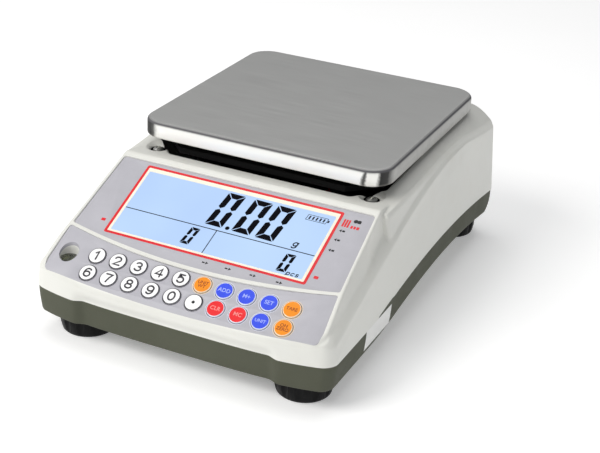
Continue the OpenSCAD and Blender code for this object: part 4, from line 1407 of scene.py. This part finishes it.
# threaded studs of the feet
def make_stud(tag, x, y):
    prof = [(0.3, 5.05), (3.5, 5.05), (4.0, 5.6)]
    z = 6.0
    while z < 40.6:
        prof += [(4.0, z), (3.98, z + 0.25), (3.45, z + 0.62), (3.45, z + 0.8), (3.98, z + 1.15)]
        z += 1.25
    prof += [(4.0, 41.0), (3.2, 41.8), (0.3, 41.8)]
    v, f = lathe(prof, 40)
    o = solid("stud_" + tag, v + np.array([x, y, 0]), f)
    shade(o, 30)
    return dress(o, "foot_" + tag, M_steel, "steel", "foot_stud_" + tag)


for tag, (x, y) in FEET.items():
    make_stud(tag, x, y)


# --------------------------------------------------------------------- sticker on the side of the base
def make_label():
    ys = np.linspace(-92, -51, 9)
    zs = np.linspace(18.6, 32.6, 15)
    n = len(zs)
    wall_x = lambda z: 105 - 1.7 * np.clip((33 - z) / 19, 0, 1.2) ** 1.7
    front = [(wall_x(z) + 0.09, y, z) for y in ys for z in zs]
    back = [(wall_x(z) - 0.3, y, z) for y in ys for z in zs]
    f = []
    k = len(front)
    for i in range(len(ys) - 1):
        for j in range(n - 1):
            a, b, c, d = i * n + j, (i + 1) * n + j, (i + 1) * n + j + 1, i * n + j + 1
            f += [(a, b, c, d), (k + a, k + d, k + c, k + b)]
    for i in range(len(ys) - 1):
        for j in (0, n - 1):
            a, b = i * n + j, (i + 1) * n + j
            f.append((a, k + a, k + b, b) if j == 0 else (a, b, k + b, k + a))
    for j in range(n - 1):
        for i in (0, len(ys) - 1):
            a, b = i * n + j, i * n + j + 1
            f.append((a, b, k + b, k + a) if i == 0 else (a, k + a, k + b, b))
    o = solid("blank_label", np.array(front + back), f)
    return dress(shade(o, 30), "case", M_label, "label_white", "side_label")


make_label()

# --------------------------------------------------------------------- pieces shown as built
PLAIN = {
    "main_board": M_board, "keypad_board": M_board, "key_mat": M_silicone, "level_vial": M_vial, "level_fluid": M_fluid,
    "pan_pads": M_rubber, "pan_support": M_matt, "cell_top_spacer": M_alu, "cell_top_screws": M_steel,
    "cell_base_spacer": M_alu, "cell_base_screws": M_steel, "overload_stop": M_steel, "battery": M_battery,
    "battery_cover": M_olive, "cover_screws": M_steel, "power_switch": M_black, "power_rocker": M_rocker, "dc_socket": M_black,
    "thread_inserts": M_brass, "case_screws": M_screw, "cell_cable": M_cable_grey, "battery_lead": M_cable_red,
}
for node, mat in PLAIN.items():
    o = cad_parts[node]
    o.data.materials.clear()
    o.data.materials.append(mat)
for node, wdt in (("power_switch", 0.35), ("power_rocker", 0.3), ("dc_socket", 0.25), ("battery_cover", 0.4), ("pan_support", 0.5),
                  ("case_screws", 0.2), ("cover_screws", 0.2)):
    bevel(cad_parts[node], wdt, 2, 40)


# --------------------------------------------------------------------- bending beam of the scale
def make_beam():
    """The load cell cut into thin slices along its length."""
    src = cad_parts["load_cell"]
    me = src.data.copy()
    me.transform(src.matrix_world)
    o = bpy.data.objects.new("load_cell_beam", me)
    scene.collection.objects.link(o)
    bm = bmesh.new()
    bm.from_mesh(me)
    for k in range(16):
        y = (15 + 4.4 * k) * MM
        geom = list(bm.verts) + list(bm.edges) + list(bm.faces)
        bmesh.ops.bisect_plane(bm, geom=geom, plane_co=(0, y, 0), plane_no=(0, 1, 0), dist=1e-7)
    bm.to_mesh(me)
    bm.free()
    me.materials.clear()
    me.materials.append(M_alu)
    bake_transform(o)
    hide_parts("load_cell")
    return o


make_beam()

# --------------------------------------------------------------------- floor and light
def floor_material():
    w = Mat("studio_floor")
    c = w.ramp(w.noise(3, 3), (0.3, (0.93, 0.93, 0.93)), (0.7, (0.95, 0.95, 0.95)))
    return w.set(color=c, rough=0.75, spec=0.05, emit=(1.0, 1.0, 1.0), power=0.27)


v = np.array([(-4000, -4000, 0), (4000, -4000, 0), (4000, 4000, 0), (-4000, 4000, 0)], float)
floor = solid("floor", v, [(0, 1, 2, 3)], fix=False)
floor.data.materials.append(floor_material())

world = bpy.data.worlds.new("studio")
scene.world = world
world.use_nodes = True
bg = next(x for x in world.node_tree.nodes if x.type == "BACKGROUND")
bg.inputs["Color"].default_value = (0.97, 0.98, 1.0, 1)
bg.inputs["Strength"].default_value = 0.26


def softbox(name, pos, aim, size, power, color=(1, 1, 1)):
    l = bpy.data.lights.new(name, "AREA")
    l.shape = "RECTANGLE"
    l.size, l.size_y = size
    l.energy = power
    l.color = color
    o = bpy.data.objects.new(name, l)
    o.location = pos
    o.rotation_euler = (Vector(aim) - Vector(pos)).to_track_quat("-Z", "Y").to_euler()
    scene.collection.objects.link(o)
    return o


softbox("key", (-0.95, -1.25, 1.4), (0, 0, 0.06), (1.2, 0.9), 28, (1.0, 0.988, 0.965))
softbox("fill", (1.7, -1.3, 0.75), (0, 0, 0.06), (1.0, 1.0), 4.2, (0.97, 0.99, 1.0))
softbox("top", (-0.1, 0.35, 1.9), (0, 0, 0.06), (1.6, 1.2), 12, (1.0, 1.0, 1.0))

scene.view_settings.view_transform = "Standard"
scene.view_settings.look = "None"
